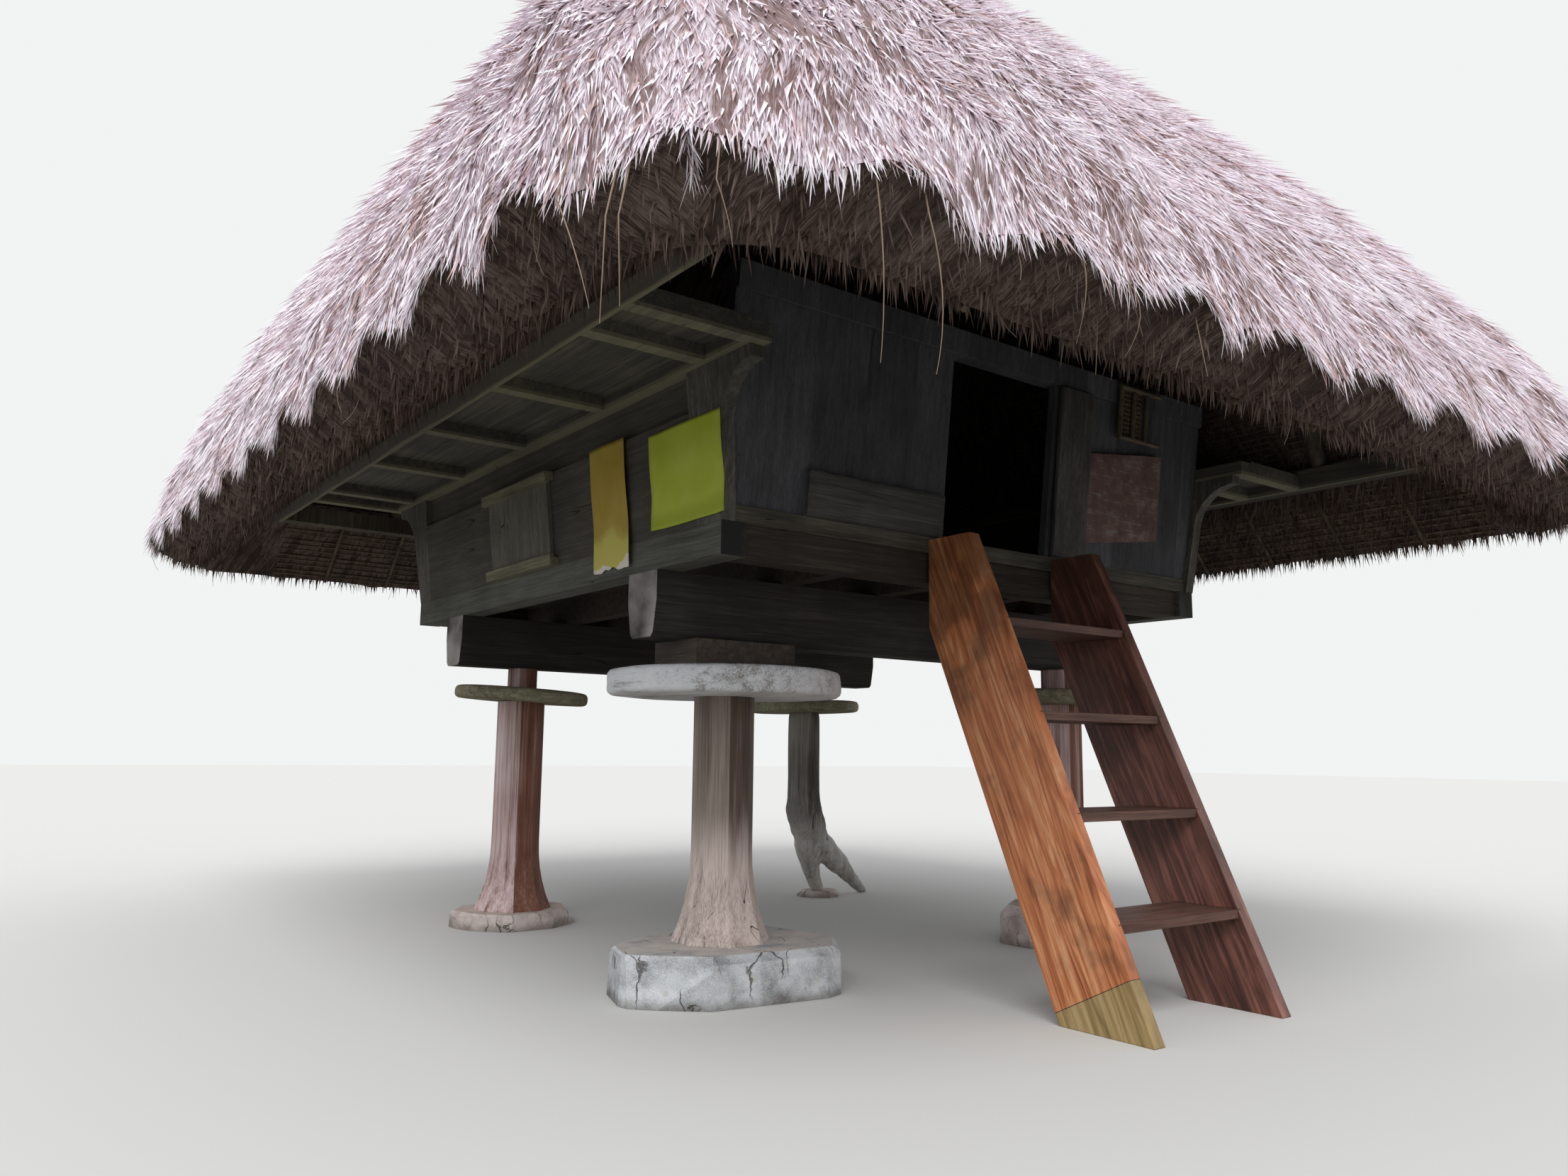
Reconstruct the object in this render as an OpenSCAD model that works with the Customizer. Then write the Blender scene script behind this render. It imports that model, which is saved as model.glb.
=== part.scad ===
// Raised granary: a timber box on four posts with guard discs, coffered side eaves,
// a plank ladder and a thick hipped thatch roof. Lengths are in millimetres.
// +Z is up, the front with the ladder faces -Y, and the origin lies on the ground
// below the middle of the floor.

/* [Box] */
// Width of the box at the floor, over the side sills
body_w = 3100; // [2800:10:3400]
// Depth of the box at the floor, over the front and back sills
body_d = 3300; // [3000:10:3600]
// Height of the underside of the sills above the ground
sill_z = 1750; // [1600:10:1950]
// Height of the sills and joists
sill_h = 135; // [110:5:160]
// Width of the sills
sill_w = 120; // [100:5:150]
// Length that a side sill runs past the box at each end
sill_over = 25; // [10:5:60]
// Number of joists between the side sills
joist_n = 4; // [3:1:5]
// Width of a joist
joist_w = 90; // [70:5:120]
// Outward lean of the walls, in degrees
lean = 6.5; // [4:0.5:9]
// Thickness of the side walls and the corner boards
wall_t = 65; // [55:5:80]
// Height of the lower side planks above the sill
plank_h = 455; // [380:5:500]
// Height of the lowest side plank
low_plank_h = 235; // [200:5:260]
// Thickness of the upper side board
band_t = 30; // [20:5:40]
// Thickness of the front and back planks
front_t = 40; // [30:5:50]
// Number of vertical planks on each side of the doorway
front_n = 4; // [3:1:5]
// Height of the side eaves' underside above the sills' top
soffit_h = 615; // [560:5:700]
// Height of the front and back walls above the rails
front_h = 845; // [760:5:900]
// Height of the rails at the foot of the front and back walls
rail_h = 70; // [50:5:90]
// Depth of those rails, front to back
rail_w = 100; // [80:5:120]
// Distance that the rails stand out past the sills
rail_out = 20; // [10:5:40]
// Height of the head beams over the front and back walls
head_h = 110; // [80:5:140]
// Width of the head beams
head_w = 90; // [70:5:110]
// Height of the skirting boards in front of the planks
skirt_h = 190; // [150:5:230]
// Thickness of the skirting boards
skirt_t = 18; // [12:1:25]
// Distance of the skirting boards from the doorway
skirt_in = 30; // [15:5:60]
// Length of a skirting board
skirt_l = 765; // [600:5:820]
// Thickness of the floor boards
floor_t = 30; // [20:5:40]
// Number of floor boards
floor_n = 11; // [8:1:14]

/* [Doorway and hatch] */
// Width of the doorway
door_w = 700; // [600:10:800]
// Width of the hatch in the left wall
hatch_w = 570; // [450:10:640]
// Height of the hatch
hatch_h = 270; // [200:10:290]
// Height of the hatch's foot above the sill
hatch_z = 100; // [60:5:110]
// Distance of the hatch's middle behind the middle of the wall
hatch_y = 135; // [0:5:300]
// Width that the shutter covers past the hatch on each side
shutter_lap = 70; // [40:5:110]
// Thickness of the shutter board
shutter_t = 22; // [15:1:30]
// Height of a shutter rail
cleat_h = 38; // [30:1:45]
// Distance that a shutter rail stands out from the wall
cleat_out = 46; // [38:1:60]
// Depth of the lip that holds the shutter's edge
cleat_lip = 14; // [8:1:20]
// Length that a shutter rail runs past the shutter at each end
cleat_over = 40; // [20:5:60]

/* [Corner boards] */
// Width of a corner board at the side wall, past the end of the side planks
corner_w = 150; // [120:5:200]
// Distance that a corner board stands out past the box at the foot
corner_out = 30; // [15:5:50]
// Radius of the hollow curve under the horn
horn_r = 230; // [180:5:280]
// Height of the horn's tip
horn_h = 45; // [30:5:70]

/* [Posts] */
// Distance of the posts' middle lines in from the sides of the box
post_in_x = 430; // [340:10:500]
// Distance of the posts' middle lines in from the front and back of the box
post_in_y = 570; // [450:10:650]
// Width of a post across its flats
post_d = 250; // [220:5:290]
// Width of a post's spread foot across its flats
foot_d = 400; // [340:5:460]
// Height of the spread foot
foot_h = 380; // [250:10:500]
// Curve of the spread foot, where 1 is a plain cone
flare = 2.2; // [1.4:0.1:3]
// Diameter of the neck above a post's shoulder
neck_d = 170; // [130:5:175]
// Height of the open neck between a guard disc and the girder
neck_h = 120; // [80:5:160]
// Diameter of three of the guard discs
guard_d = 780; // [640:10:900]
// Thickness of those discs
guard_t = 75; // [65:5:100]
// Diameter of the front left guard disc
guard_a_d = 1050; // [800:10:1100]
// Thickness of the front left guard disc
guard_a_t = 115; // [80:5:130]
// Radius of the worn edges of the guard discs
guard_r = 28; // [15:1:30]
// Clearance round the necks in the discs and the head block
neck_gap = 3; // [1:0.5:6]
// Length of the head block on the front left post
block_l = 520; // [400:10:640]
// Depth of the head block
block_w = 340; // [250:10:420]
// Height of the girders
girder_h = 280; // [220:5:300]
// Width of the girders at the top
girder_w = 240; // [200:5:280]
// Width of the girders at the foot
girder_foot = 190; // [150:5:199]
// Width of the worn lower edges of the girders
girder_worn = 18; // [10:1:25]

/* [Rooted post] */
// Distance that the back right post stands to the left of its corner's place
root_in = 110; // [0:10:150]
// Width of that post across its flats
root_d = 210; // [195:5:240]
// Height at which its trunk starts to bend
bend_z = 620; // [540:10:700]
// Height of the fork in two roots
fork_z = 390; // [330:10:440]
// Distance from the post's middle line to the fork
fork_x = 105; // [70:5:130]
// Distance from the middle line to the toe of the near root
toe_near = 205; // [150:5:260]
// Distance from the middle line to the toe of the far root
toe_far = 615; // [500:5:680]
// Distance that both toes lie behind the middle line
toe_y = 75; // [40:5:110]
// Thickness of the far root at the fork
root_t = 140; // [110:5:160]

/* [Footing stones] */
// Thickness of the two front stones
stone_front_t = 200; // [120:5:260]
// Thickness of the back left stone
stone_back_t = 90; // [60:5:160]
// Width of the front left slab
stone_a_w = 980; // [860:10:1100]
// Depth of the front left slab
stone_a_d = 760; // [680:10:900]
// Mean width of the front right and back left stones
stone_w = 720; // [640:10:850]
// Width of the small stone under the near root
pad_w = 320; // [240:10:400]
// Thickness of the small stone
pad_t = 40; // [30:5:60]
// Width of the stones' worn upper edges
stone_worn = 30; // [15:5:45]

/* [Side eaves] */
// Distance that the side eaves run past the box at the front and back
soffit_over = 350; // [300:5:420]
// Width of the cross members
cross_w = 70; // [50:5:90]
// Height of the cross members
cross_h = 60; // [45:5:75]
// Number of bays along a side eave between its end members
bay_n = 4; // [3:1:6]
// Height of the wall plates
plate_h = 70; // [60:5:80]
// Distance that a wall plate stands out past the wall
plate_out = 30; // [15:5:45]
// Thickness of the eave boards
eave_board_t = 20; // [15:1:25]
// Height of the eave beams
beam_h = 110; // [90:5:130]
// Width of the eave beams
beam_w = 110; // [90:5:130]

/* [Roof] */
// Width of the roof over the left and right eaves
roof_w = 6000; // [5700:10:6300]
// Depth of the roof over the front and back eaves
roof_d = 7100; // [6800:10:7400]
// Height of the side eaves' underside above the thatch's outer rim
eave_h = 280; // [220:10:400]
// Height of the roof's top above that rim
roof_h = 4010; // [3700:10:4400]
// Length of the ridge
ridge_l = 1520; // [1200:10:1800]
// Bulge of the slopes, where 1 is straight
bulge = 1.34; // [1.2:0.02:1.5]
// Radius of the roof's corners at the eave, seen from above
roof_r = 760; // [500:10:1000]
// Distance from the thatch's edge in to the middle of the eave beams
eave_hang = 800; // [760:10:900]
// Width of the slanting face under the rim
fringe_w = 300; // [200:10:360]
// Height of the rim above the inner edge of that face
fringe_h = 90; // [40:5:140]
// Width of a bunch of grass along the eave
bunch_w = 560; // [450:10:700]
// Depth of the hollows between bunches on the slopes
bunch_d = 50; // [20:5:80]
// Height of the notches between bunches at the rim
bunch_h = 80; // [30:5:120]
// Half width of the roof's top and radius of its corners there
peak_r = 100; // [70:5:150]
// Height of the roof's top above the ridge pole's middle
crest_h = 790; // [780:10:1000]
// Diameter of the ridge pole
ridge_d = 120; // [90:5:140]
// Diameter of the rafters
rafter_d = 90; // [70:5:110]
// Distance between rafters along an eave
rafter_step = 700; // [600:10:900]
// Distance that the ridge cap's foot spreads past the slopes' top
cap_out = 70; // [30:5:120]
// Roundness of the ridge cap, where 1 closes it in a sharp ridge
cap_round = 0.9; // [0.7:0.02:0.96]
// Thickness of the cap's levels
cap_step = 2; // [1:1:5]

/* [Ladder] */
// Width of the ladder over its stringers
ladder_w = 880; // [780:10:960]
// Slope of the ladder, in degrees
ladder_a = 66.5; // [62:0.5:72]
// Width of a stringer plank
string_w = 380; // [320:5:420]
// Thickness of a stringer plank
string_t = 60; // [45:5:75]
// Distance of the stringers' front edge before the rail, at the top
ladder_lead = 245; // [200:5:300]
// Height of the stringers' top below the rail's top
ladder_drop = 15; // [5:5:40]
// Number of treads
tread_n = 4; // [3:1:5]
// Depth of a tread
tread_d = 300; // [240:5:330]
// Thickness of a tread
tread_t = 35; // [25:1:45]
// Depth that a tread is housed in a stringer
tread_in = 15; // [8:1:20]

/* [Fit] */
// Clearance between neighbouring boards
board_gap = 0.6; // [0.4:0.1:0.9]
// Clearance between pieces that rest on each other's slanting faces
seat_gap = 0.3; // [0.2:0.1:0.5]
// Half width of the open slot between the slopes over the ridge pole
slot = 5; // [4:1:8]

/* [Hidden] */

// Heights that follow from the sizes above
sill_top = sill_z + sill_h;
rail_top = sill_top + rail_h;
plank_top = sill_top + plank_h;
soffit_z = sill_top + soffit_h;
head_z = rail_top + front_h;
girder_z = sill_z - girder_h;
beam_top = soffit_z + beam_h;
eave_z = soffit_z - eave_h;
roof_top = eave_z + roof_h;
ridge_z = roof_top - crest_h;
// Outward shift of a wall per millimetre of height
slant = tan(lean);
// Width factor from an octagon's flats to its corners
oct = 1 / cos(22.5);
// Places of the posts' middle lines
post_x = body_w / 2 - post_in_x;
post_y = body_d / 2 - post_in_y;
// Half sizes of the eave beams' rectangle, at the beams' middle lines
ring_x = roof_w / 2 - eave_hang;
ring_y = roof_d / 2 - eave_hang;
ridge_half = ridge_l / 2;
// Rise and run of the rafters, and the thatch's height above their middle lines
rise = ridge_z - beam_top;
run_x = ring_x - ridge_half;
slope_x = sqrt(rise * rise + run_x * run_x);
slope_y = sqrt(rise * rise + ring_y * ring_y);
bed = (rafter_d / 2 + board_gap) * max(slope_x / run_x, slope_y / ring_y);
bed_z = ridge_z + bed;
// Part of the roof's height that the slopes cover below the ridge cap
cover = 0.93;
// Radius of the corners of the slot over the ridge pole
slot_r = 0.8 * slot;
// Half length of the ridge pole, up to the bed of the end slopes at the pole's top
pole_half = ring_x - run_x * (ridge_z + ridge_d / 2 - beam_top - bed) / rise - board_gap;
// Turn of a round pole about its own line, so that its facets' edges miss the cuts
pole_turn = 17;
// Levels of a slope and steps of half a rounded corner, which is one bunch wide
level_n = 9;
turn_n = 4;
// Steps of a bunch
bunch_n = 4;
// Least distances of the short rafters' ends from the hips, along the eave
hip_gap_y = 1.6 * rafter_d;
hip_gap_x = 1.3 * rafter_d;
// Least distance of a rafter from the eave's corner
corner_gap = 0.4 * rafter_step;
// Outer face of the side eave's wall plate and inner face of the eave beam
plate_x = side_x(soffit_z) + plate_out;
beam_in = ring_x - beam_w / 2;
eave_half = body_d / 2 + soffit_over;
// Run of a stringer per millimetre of height, and its level width
tread_run = 1 / tan(ladder_a);
string_level = string_w / sin(ladder_a);
string_top = rail_top - ladder_drop;
string_y = -(body_d / 2 + rail_out) - ladder_lead;
tread_rise = rail_top / (tread_n + 1);

wall_tone = "#5b5048";
timber_tone = "#6b5648";
thatch_tone = "#8d7a6f";
stone_tone = "#8f8d88";
ladder_tone = "#a5562a";

// Outer face of a side wall at a height, for an upright distance behind that face
function side_x(z, back = 0) = body_w / 2 + (z - sill_top) * slant - back;
// Outer face of the front or back wall at a height
function front_y(z, back = 0) = body_d / 2 + (z - sill_top) * slant - back;

// Slab that leans with the right wall, from y0 to y1
module side_slab(z0, z1, back, t, y0, y1) {
    translate([0, y1, 0])
        rotate([90, 0, 0])
            linear_extrude(height = y1 - y0)
                polygon([
                    [side_x(z0, back + t), z0],
                    [side_x(z0, back), z0],
                    [side_x(z1, back), z1],
                    [side_x(z1, back + t), z1]]);
}

// Slab that leans with the back wall, from x0 to x1
module front_slab(z0, z1, back, t, x0, x1) {
    translate([x0, 0, 0])
        rotate([90, 0, 90])
            linear_extrude(height = x1 - x0)
                polygon([
                    [front_y(z0, back + t), z0],
                    [front_y(z0, back), z0],
                    [front_y(z1, back), z1],
                    [front_y(z1, back + t), z1]]);
}

// Slab of stone with a worn upper edge; shares gives its outline in half widths and half depths
module stone(shares, w, d, t) {
    color(stone_tone)
        hull() {
            linear_extrude(height = t - stone_worn)
                polygon([for (c = shares) [c[0] * w / 2, c[1] * d / 2]]);
            linear_extrude(height = t)
                polygon([for (c = shares) [c[0] * (w / 2 - stone_worn), c[1] * (d / 2 - stone_worn)]]);
        }
}

// Outline of a rounded field stone with nine uneven sides, from a turn in degrees
function field_stone(turn) = [
    for (i = [0 : 8])
        let (a = i * 40 + turn, k = 1 + 0.07 * sin(i * 131 + turn))
            [k * cos(a), k * sin(a)]];

// Outline of the split block under the front left post, with a blunt edge towards the front left
split_block = [
    [-1.12, -0.29], [-0.54, -0.92], [0.67, -1.1], [1.02, -0.53], [0.85, 0.75], [-0.35, 0.85], [-0.95, 0.4]];

// Round neck above a post's shoulder
module neck(z, foot_z = 0) {
    translate([0, 0, z])
        cylinder(h = girder_z - foot_z - z, d = neck_d, $fn = 48);
}

// Eight-sided post with a spread foot
module post(foot_z, guard_z) {
    flare_n = 5;
    color(timber_tone)
        translate([0, 0, foot_z]) {
            rotate([0, 0, 22.5]) {
                for (i = [0 : flare_n - 1]) {
                    a0 = i / flare_n;
                    a1 = (i + 1) / flare_n;
                    translate([0, 0, foot_h * a0])
                        cylinder(
                            h = foot_h * (a1 - a0),
                            r1 = oct / 2 * (post_d + (foot_d - post_d) * pow(1 - a0, flare)),
                            r2 = oct / 2 * (post_d + (foot_d - post_d) * pow(1 - a1, flare)),
                            $fn = 8);
                }
                translate([0, 0, foot_h])
                    cylinder(h = guard_z - foot_z - foot_h, r = oct / 2 * post_d, $fn = 8);
            }
            neck(guard_z - foot_z, foot_z);
        }
}

// Round limb through points with a thickness at each, cut level at its foot
module limb(path, widths, foot_z) {
    intersection() {
        for (i = [0 : len(path) - 2])
            hull()
                for (k = [i, i + 1])
                    translate(path[k])
                        sphere(d = widths[k], $fn = 12);
        translate([-toe_far, -toe_far, foot_z])
            cube([3 * toe_far, 2 * toe_far, girder_z]);
    }
}

// Trunk that bends aside and forks in two roots, one on the small stone and one on the ground
module rooted_post(guard_z) {
    fork = [fork_x, toe_y / 3, fork_z];
    near = [fork_x * 0.3, 0, fork_z - 0.2 * root_t];
    color(timber_tone) {
        translate([0, 0, bend_z])
            rotate([0, 0, 22.5])
                cylinder(h = guard_z - bend_z, r = oct / 2 * root_d, $fn = 8);
        neck(guard_z);
        limb(
            [[0, 0, bend_z], [fork_x * 0.35, 0, (bend_z + fork_z) / 2], fork],
            [root_d * oct, root_d * 0.92, root_t * 1.1], 0);
        limb(
            [near, [fork_x * 0.85, toe_y / 2, fork_z * 0.55], [toe_near, toe_y, 0]],
            [root_t * 0.85, root_t * 0.72, root_t * 0.6], pad_t);
        limb(
            [fork, [(fork_x + toe_far) / 2, toe_y / 2, fork_z * 0.52], [toe_far, toe_y, 0]],
            [root_t, root_t * 0.85, root_t * 0.4], 0);
    }
}

// Guard disc with worn edges and a hole for the neck
module guard(d, t) {
    color("#857c70")
        rotate_extrude($fn = 96)
            difference() {
                union() {
                    square([d / 2 - guard_r, t]);
                    translate([0, guard_r])
                        square([d / 2, t - 2 * guard_r]);
                    for (z = [guard_r, t - guard_r])
                        translate([d / 2 - guard_r, z])
                            circle(r = guard_r, $fn = 32);
                }
                translate([-t, -t])
                    square([t + neck_d / 2 + neck_gap, 3 * t]);
            }
}

// Underside of a guard disc of a given thickness
function guard_z(t) = girder_z - neck_h - t;

module at_post(sx, sy) {
    translate([sx * post_x, sy * post_y, 0])
        children();
}

// Place of the rooted post, which stands a little out of its corner
module at_rooted_post() {
    at_post(1, 1)
        translate([-root_in, 0, 0])
            children();
}

// Block between the front left guard disc and the girder, round the post's neck
module head_block() {
    color(timber_tone)
        at_post(-1, -1)
            translate([0, 0, girder_z - neck_h])
                difference() {
                    translate([-block_l / 2, -block_w / 2, 0])
                        cube([block_l, block_w, neck_h]);
                    translate([0, 0, -1])
                        cylinder(h = neck_h + 2, d = neck_d + 2 * neck_gap, $fn = 48);
                }
}

// Girder with sides that narrow towards its foot
module girder(sy) {
    low = girder_h * 0.55;
    color(timber_tone)
        translate([-body_w / 2, sy * post_y, girder_z])
            rotate([90, 0, 90])
                linear_extrude(height = body_w)
                    polygon([
                        [-girder_foot / 2 + girder_worn, 0],
                        [girder_foot / 2 - girder_worn, 0],
                        [girder_foot / 2, girder_worn],
                        [girder_w / 2, low],
                        [girder_w / 2, girder_h],
                        [-girder_w / 2, girder_h],
                        [-girder_w / 2, low],
                        [-girder_foot / 2, girder_worn]]);
}

module sill() {
    color(timber_tone)
        translate([body_w / 2 - sill_w, -body_d / 2 - sill_over, sill_z])
            cube([sill_w, body_d + 2 * sill_over, sill_h]);
}

// Front and back sills with the joists between them
module floor_frame() {
    inner = body_w - 2 * sill_w;
    pitch = inner / (joist_n + 1);
    color(timber_tone) {
        for (sy = [-1, 1])
            translate([-inner / 2, sy * (body_d / 2 - sill_w / 2) - sill_w / 2, sill_z])
                cube([inner, sill_w, sill_h]);
        for (i = [1 : joist_n])
            translate([
                -inner / 2 + i * pitch - joist_w / 2,
                -body_d / 2 + sill_w + board_gap,
                sill_z])
                cube([joist_w, body_d - 2 * sill_w - 2 * board_gap, sill_h]);
    }
}

module floor_boards() {
    w = body_w - 2 * wall_t - 2 * board_gap;
    d = body_d + 2 * rail_out - 2 * rail_w - 2 * board_gap;
    pitch = d / floor_n;
    color("#5d4a3c")
        for (i = [0 : floor_n - 1])
            translate([-w / 2, -d / 2 + i * pitch, sill_top])
                cube([w, pitch - board_gap, floor_t]);
}

// Hatch hole in the side wall, on the right before the wall is mirrored
module hatch_hole() {
    translate([side_x(sill_top) - 2 * wall_t, hatch_y - hatch_w / 2, sill_top + hatch_z])
        cube([4 * wall_t, hatch_w, hatch_h]);
}

// Side wall of two wide planks with a set-back board above them
module side_wall(hatch) {
    y1 = body_d / 2 - corner_w - board_gap;
    seam = sill_top + low_plank_h;
    color(wall_tone) {
        difference() {
            union() {
                side_slab(sill_top, seam, 0, wall_t, -y1, y1);
                side_slab(seam + board_gap, plank_top, 0, wall_t, -y1, y1);
            }
            if (hatch)
                hatch_hole();
        }
        side_slab(plank_top + board_gap, soffit_z, wall_t - band_t, band_t, -y1, y1);
    }
}

// Outline of a corner board seen from the side, with its hollow-curved horn
module corner_outline() {
    y0 = body_d / 2 - corner_w;
    foot = body_d / 2 + corner_out;
    curve_z = soffit_z - horn_h - horn_r;
    neck = foot + (curve_z - sill_top) * slant;
    polygon([[y0, sill_top], [foot, sill_top], [neck, curve_z], [neck, soffit_z], [y0, soffit_z]]);
    difference() {
        translate([neck - 1, curve_z])
            square([horn_r + 1, soffit_z - curve_z]);
        translate([neck + horn_r, curve_z])
            circle(r = horn_r, $fn = 96);
    }
}

module corner_board() {
    intersection() {
        side_slab(sill_top, soffit_z, 0, wall_t, 0, body_d);
        rotate([90, 0, 90])
            linear_extrude(height = body_w)
                corner_outline();
    }
}

module corners() {
    color(wall_tone) {
        corner_board();
        mirror([0, 1, 0])
            corner_board();
    }
}

// Room that the front and back planks have between the leaning side walls
module between_sides(z0, z1) {
    gap = wall_t + board_gap;
    translate([0, body_d, 0])
        rotate([90, 0, 0])
            linear_extrude(height = 2 * body_d)
                polygon([
                    [-side_x(z0, gap), z0],
                    [side_x(z0, gap), z0],
                    [side_x(soffit_z, gap), soffit_z],
                    [side_x(soffit_z, gap), z1],
                    [-side_x(soffit_z, gap), z1],
                    [-side_x(soffit_z, gap), soffit_z]]);
}

// Upright planks from x0 to x1, as they stand in the back wall
module planks(x0, x1, n) {
    pitch = (x1 - x0) / n;
    intersection() {
        for (i = [0 : n - 1])
            front_slab(
                rail_top + board_gap, head_z - board_gap, 0, front_t,
                x0 + i * pitch, x0 + (i + 1) * pitch - board_gap);
        between_sides(rail_top, head_z);
    }
}

// Planks on the right of the doorway, as they stand in the back wall, with a skirting board
module door_side() {
    x0 = door_w / 2;
    color(wall_tone) {
        planks(x0, side_x(soffit_z, wall_t), front_n);
        front_slab(
            rail_top, rail_top + skirt_h, -skirt_t - seat_gap, skirt_t,
            x0 + skirt_in, x0 + skirt_in + skirt_l);
    }
}

module rail() {
    l = body_w - 2 * wall_t - 2 * board_gap;
    translate([-l / 2, body_d / 2 + rail_out - rail_w, sill_top])
        cube([l, rail_w, rail_h]);
}

module head() {
    l = 2 * side_x(soffit_z, wall_t) - 2 * board_gap;
    front_slab(head_z, head_z + head_h, -rail_out, head_w, -l / 2, l / 2);
}

module wall_back() {
    edge = side_x(soffit_z, wall_t);
    color(wall_tone) {
        planks(-edge, edge, 2 * front_n + 2);
        rail();
        head();
    }
}

// Shutter board over the hatch, on the right before it is mirrored
module shutter() {
    w = hatch_w + 2 * shutter_lap;
    color("#6a5f55")
        side_slab(
            sill_top + cleat_h + board_gap, plank_top - cleat_h - board_gap,
            -shutter_t - seat_gap, shutter_t, hatch_y - w / 2, hatch_y + w / 2);
}

// Upper and lower shutter rails, each with a lip over the shutter's edge
module shutter_rails() {
    w = hatch_w + 2 * shutter_lap + 2 * cleat_over;
    lip_t = cleat_out - shutter_t - 3 * board_gap;
    y0 = hatch_y - w / 2;
    y1 = hatch_y + w / 2;
    low = sill_top + cleat_h;
    high = plank_top - cleat_h;
    color("#877a6c") {
        side_slab(sill_top, low, -cleat_out, cleat_out - board_gap / 2, y0, y1);
        side_slab(low, low + cleat_lip, -cleat_out, lip_t, y0, y1);
        side_slab(high, plank_top, -cleat_out, cleat_out - board_gap / 2, y0, y1);
        side_slab(high - cleat_lip, high, -cleat_out, lip_t, y0, y1);
    }
}

// Side eave: wall plate, cross members, boards on top and the outer beam
module side_eave() {
    pitch = body_d / bay_n;
    in_x = side_x(soffit_z, wall_t);
    span = beam_in - plate_x - 2 * board_gap;
    end_y = eave_half - cross_w / 2;
    rows = concat([-end_y, end_y], [for (i = [0 : bay_n]) -body_d / 2 + i * pitch]);
    color("#63594d") {
        translate([in_x, -eave_half, soffit_z])
            cube([plate_x - in_x, 2 * eave_half, plate_h]);
        for (y = rows)
            translate([plate_x + board_gap, y - cross_w / 2, soffit_z])
                cube([span, cross_w, cross_h]);
        for (i = [0, 1])
            translate([
                plate_x + board_gap + i * span / 2,
                -eave_half,
                soffit_z + cross_h + board_gap])
                cube([span / 2 - board_gap, 2 * eave_half, eave_board_t]);
        translate([beam_in, -ring_y - beam_w / 2, soffit_z])
            cube([beam_w, 2 * ring_y + beam_w, beam_h]);
    }
}

// Round pole between two points, cut level at the eave beam and upright at the ridge
module pole(p, q) {
    d = q - p;
    l = norm(d);
    intersection() {
        translate(p)
            rotate([0, acos(d[2] / l), atan2(d[1], d[0])])
                rotate([0, 0, pole_turn])
                    translate([0, 0, -rafter_d])
                        cylinder(h = l + rafter_d, d = rafter_d, $fn = 32);
        translate([-roof_w, -roof_d, beam_top + seat_gap])
            cube([2 * roof_w, 2 * roof_d, roof_top]);
    }
}

// Part of the slope's length that a rafter may run before it meets a hip
function side_share(y) = 1 - (abs(y) + hip_gap_y) / ring_y;
function front_share(x) = (ring_x - abs(x) - hip_gap_x) / run_x;

// Rafters of the right slope
module side_rafters() {
    n = floor((ring_y - corner_gap) / rafter_step);
    stop = pole_half + board_gap;
    color(timber_tone)
        for (i = [-n : n]) {
            y = i * rafter_step;
            s = side_share(y);
            if (i == 0)
                difference() {
                    pole([ring_x, 0, beam_top], [ridge_half, 0, ridge_z]);
                    translate([-roof_w + stop, -rafter_d, 0])
                        cube([roof_w, 2 * rafter_d, 2 * roof_top]);
                }
            else
                pole([ring_x, y, beam_top], [ring_x - run_x * s, y, beam_top + rise * s]);
        }
}

// Rafters, hips and eave beam of the back slope
module back_rafters() {
    n = floor((ring_x - corner_gap) / rafter_step);
    l = 2 * beam_in - 2 * board_gap;
    color(timber_tone) {
        translate([-l / 2, ring_y - beam_w / 2, soffit_z])
            cube([l, beam_w, beam_h]);
        difference() {
            union() {
                for (sx = [-1, 1])
                    pole([sx * ring_x, ring_y, beam_top], [sx * ridge_half, 0, ridge_z]);
                for (i = [-n : n]) {
                    x = i * rafter_step;
                    s = min(1, front_share(x));
                    pole([x, ring_y, beam_top], [x, ring_y * (1 - s), beam_top + rise * s]);
                }
            }
            translate([-roof_w, -roof_d + ridge_d / 2 + seat_gap, 0])
                cube([2 * roof_w, roof_d, 2 * roof_top]);
        }
    }
}

module ridge_pole() {
    color(timber_tone)
        translate([-pole_half, 0, ridge_z])
            rotate([0, 90, 0])
                cylinder(h = 2 * pole_half, d = ridge_d, $fn = 48);
}

// Points of half a rounded corner: c is the corner, a0 and a1 the angles
function turn(c, a0, a1, hx, hy, r, z) = [
    for (i = [0 : turn_n])
        let (
            a = a0 + (a1 - a0) * i / turn_n,
            sx = (c == 0 || c == 3) ? 1 : -1,
            sy = (c == 0 || c == 1) ? 1 : -1)
        [sx * (hx - r) + r * cos(a), sy * (hy - r) + r * sin(a), z]];

// Corners and angles at which the sides of a rounded rectangle start and end, from the front on
function first_turn(k, hx, hy, r, z) = turn((k + 2) % 4, 225 + 90 * k, 270 + 90 * k, hx, hy, r, z);
function last_turn(k, hx, hy, r, z) = turn((k + 3) % 4, 270 + 90 * k, 315 + 90 * k, hx, hy, r, z);

// Points of one side, 0 front, 1 right, 2 back, 3 left, with its straight part in n steps
function side_row(k, n, hx, hy, r, z) =
    let (
        first = first_turn(k, hx, hy, r, z),
        last = last_turn(k, hx, hy, r, z),
        p = first[turn_n],
        q = last[0])
    concat(first, [for (i = [1 : 1 : n - 1]) p + (q - p) * i / n], last);

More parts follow.
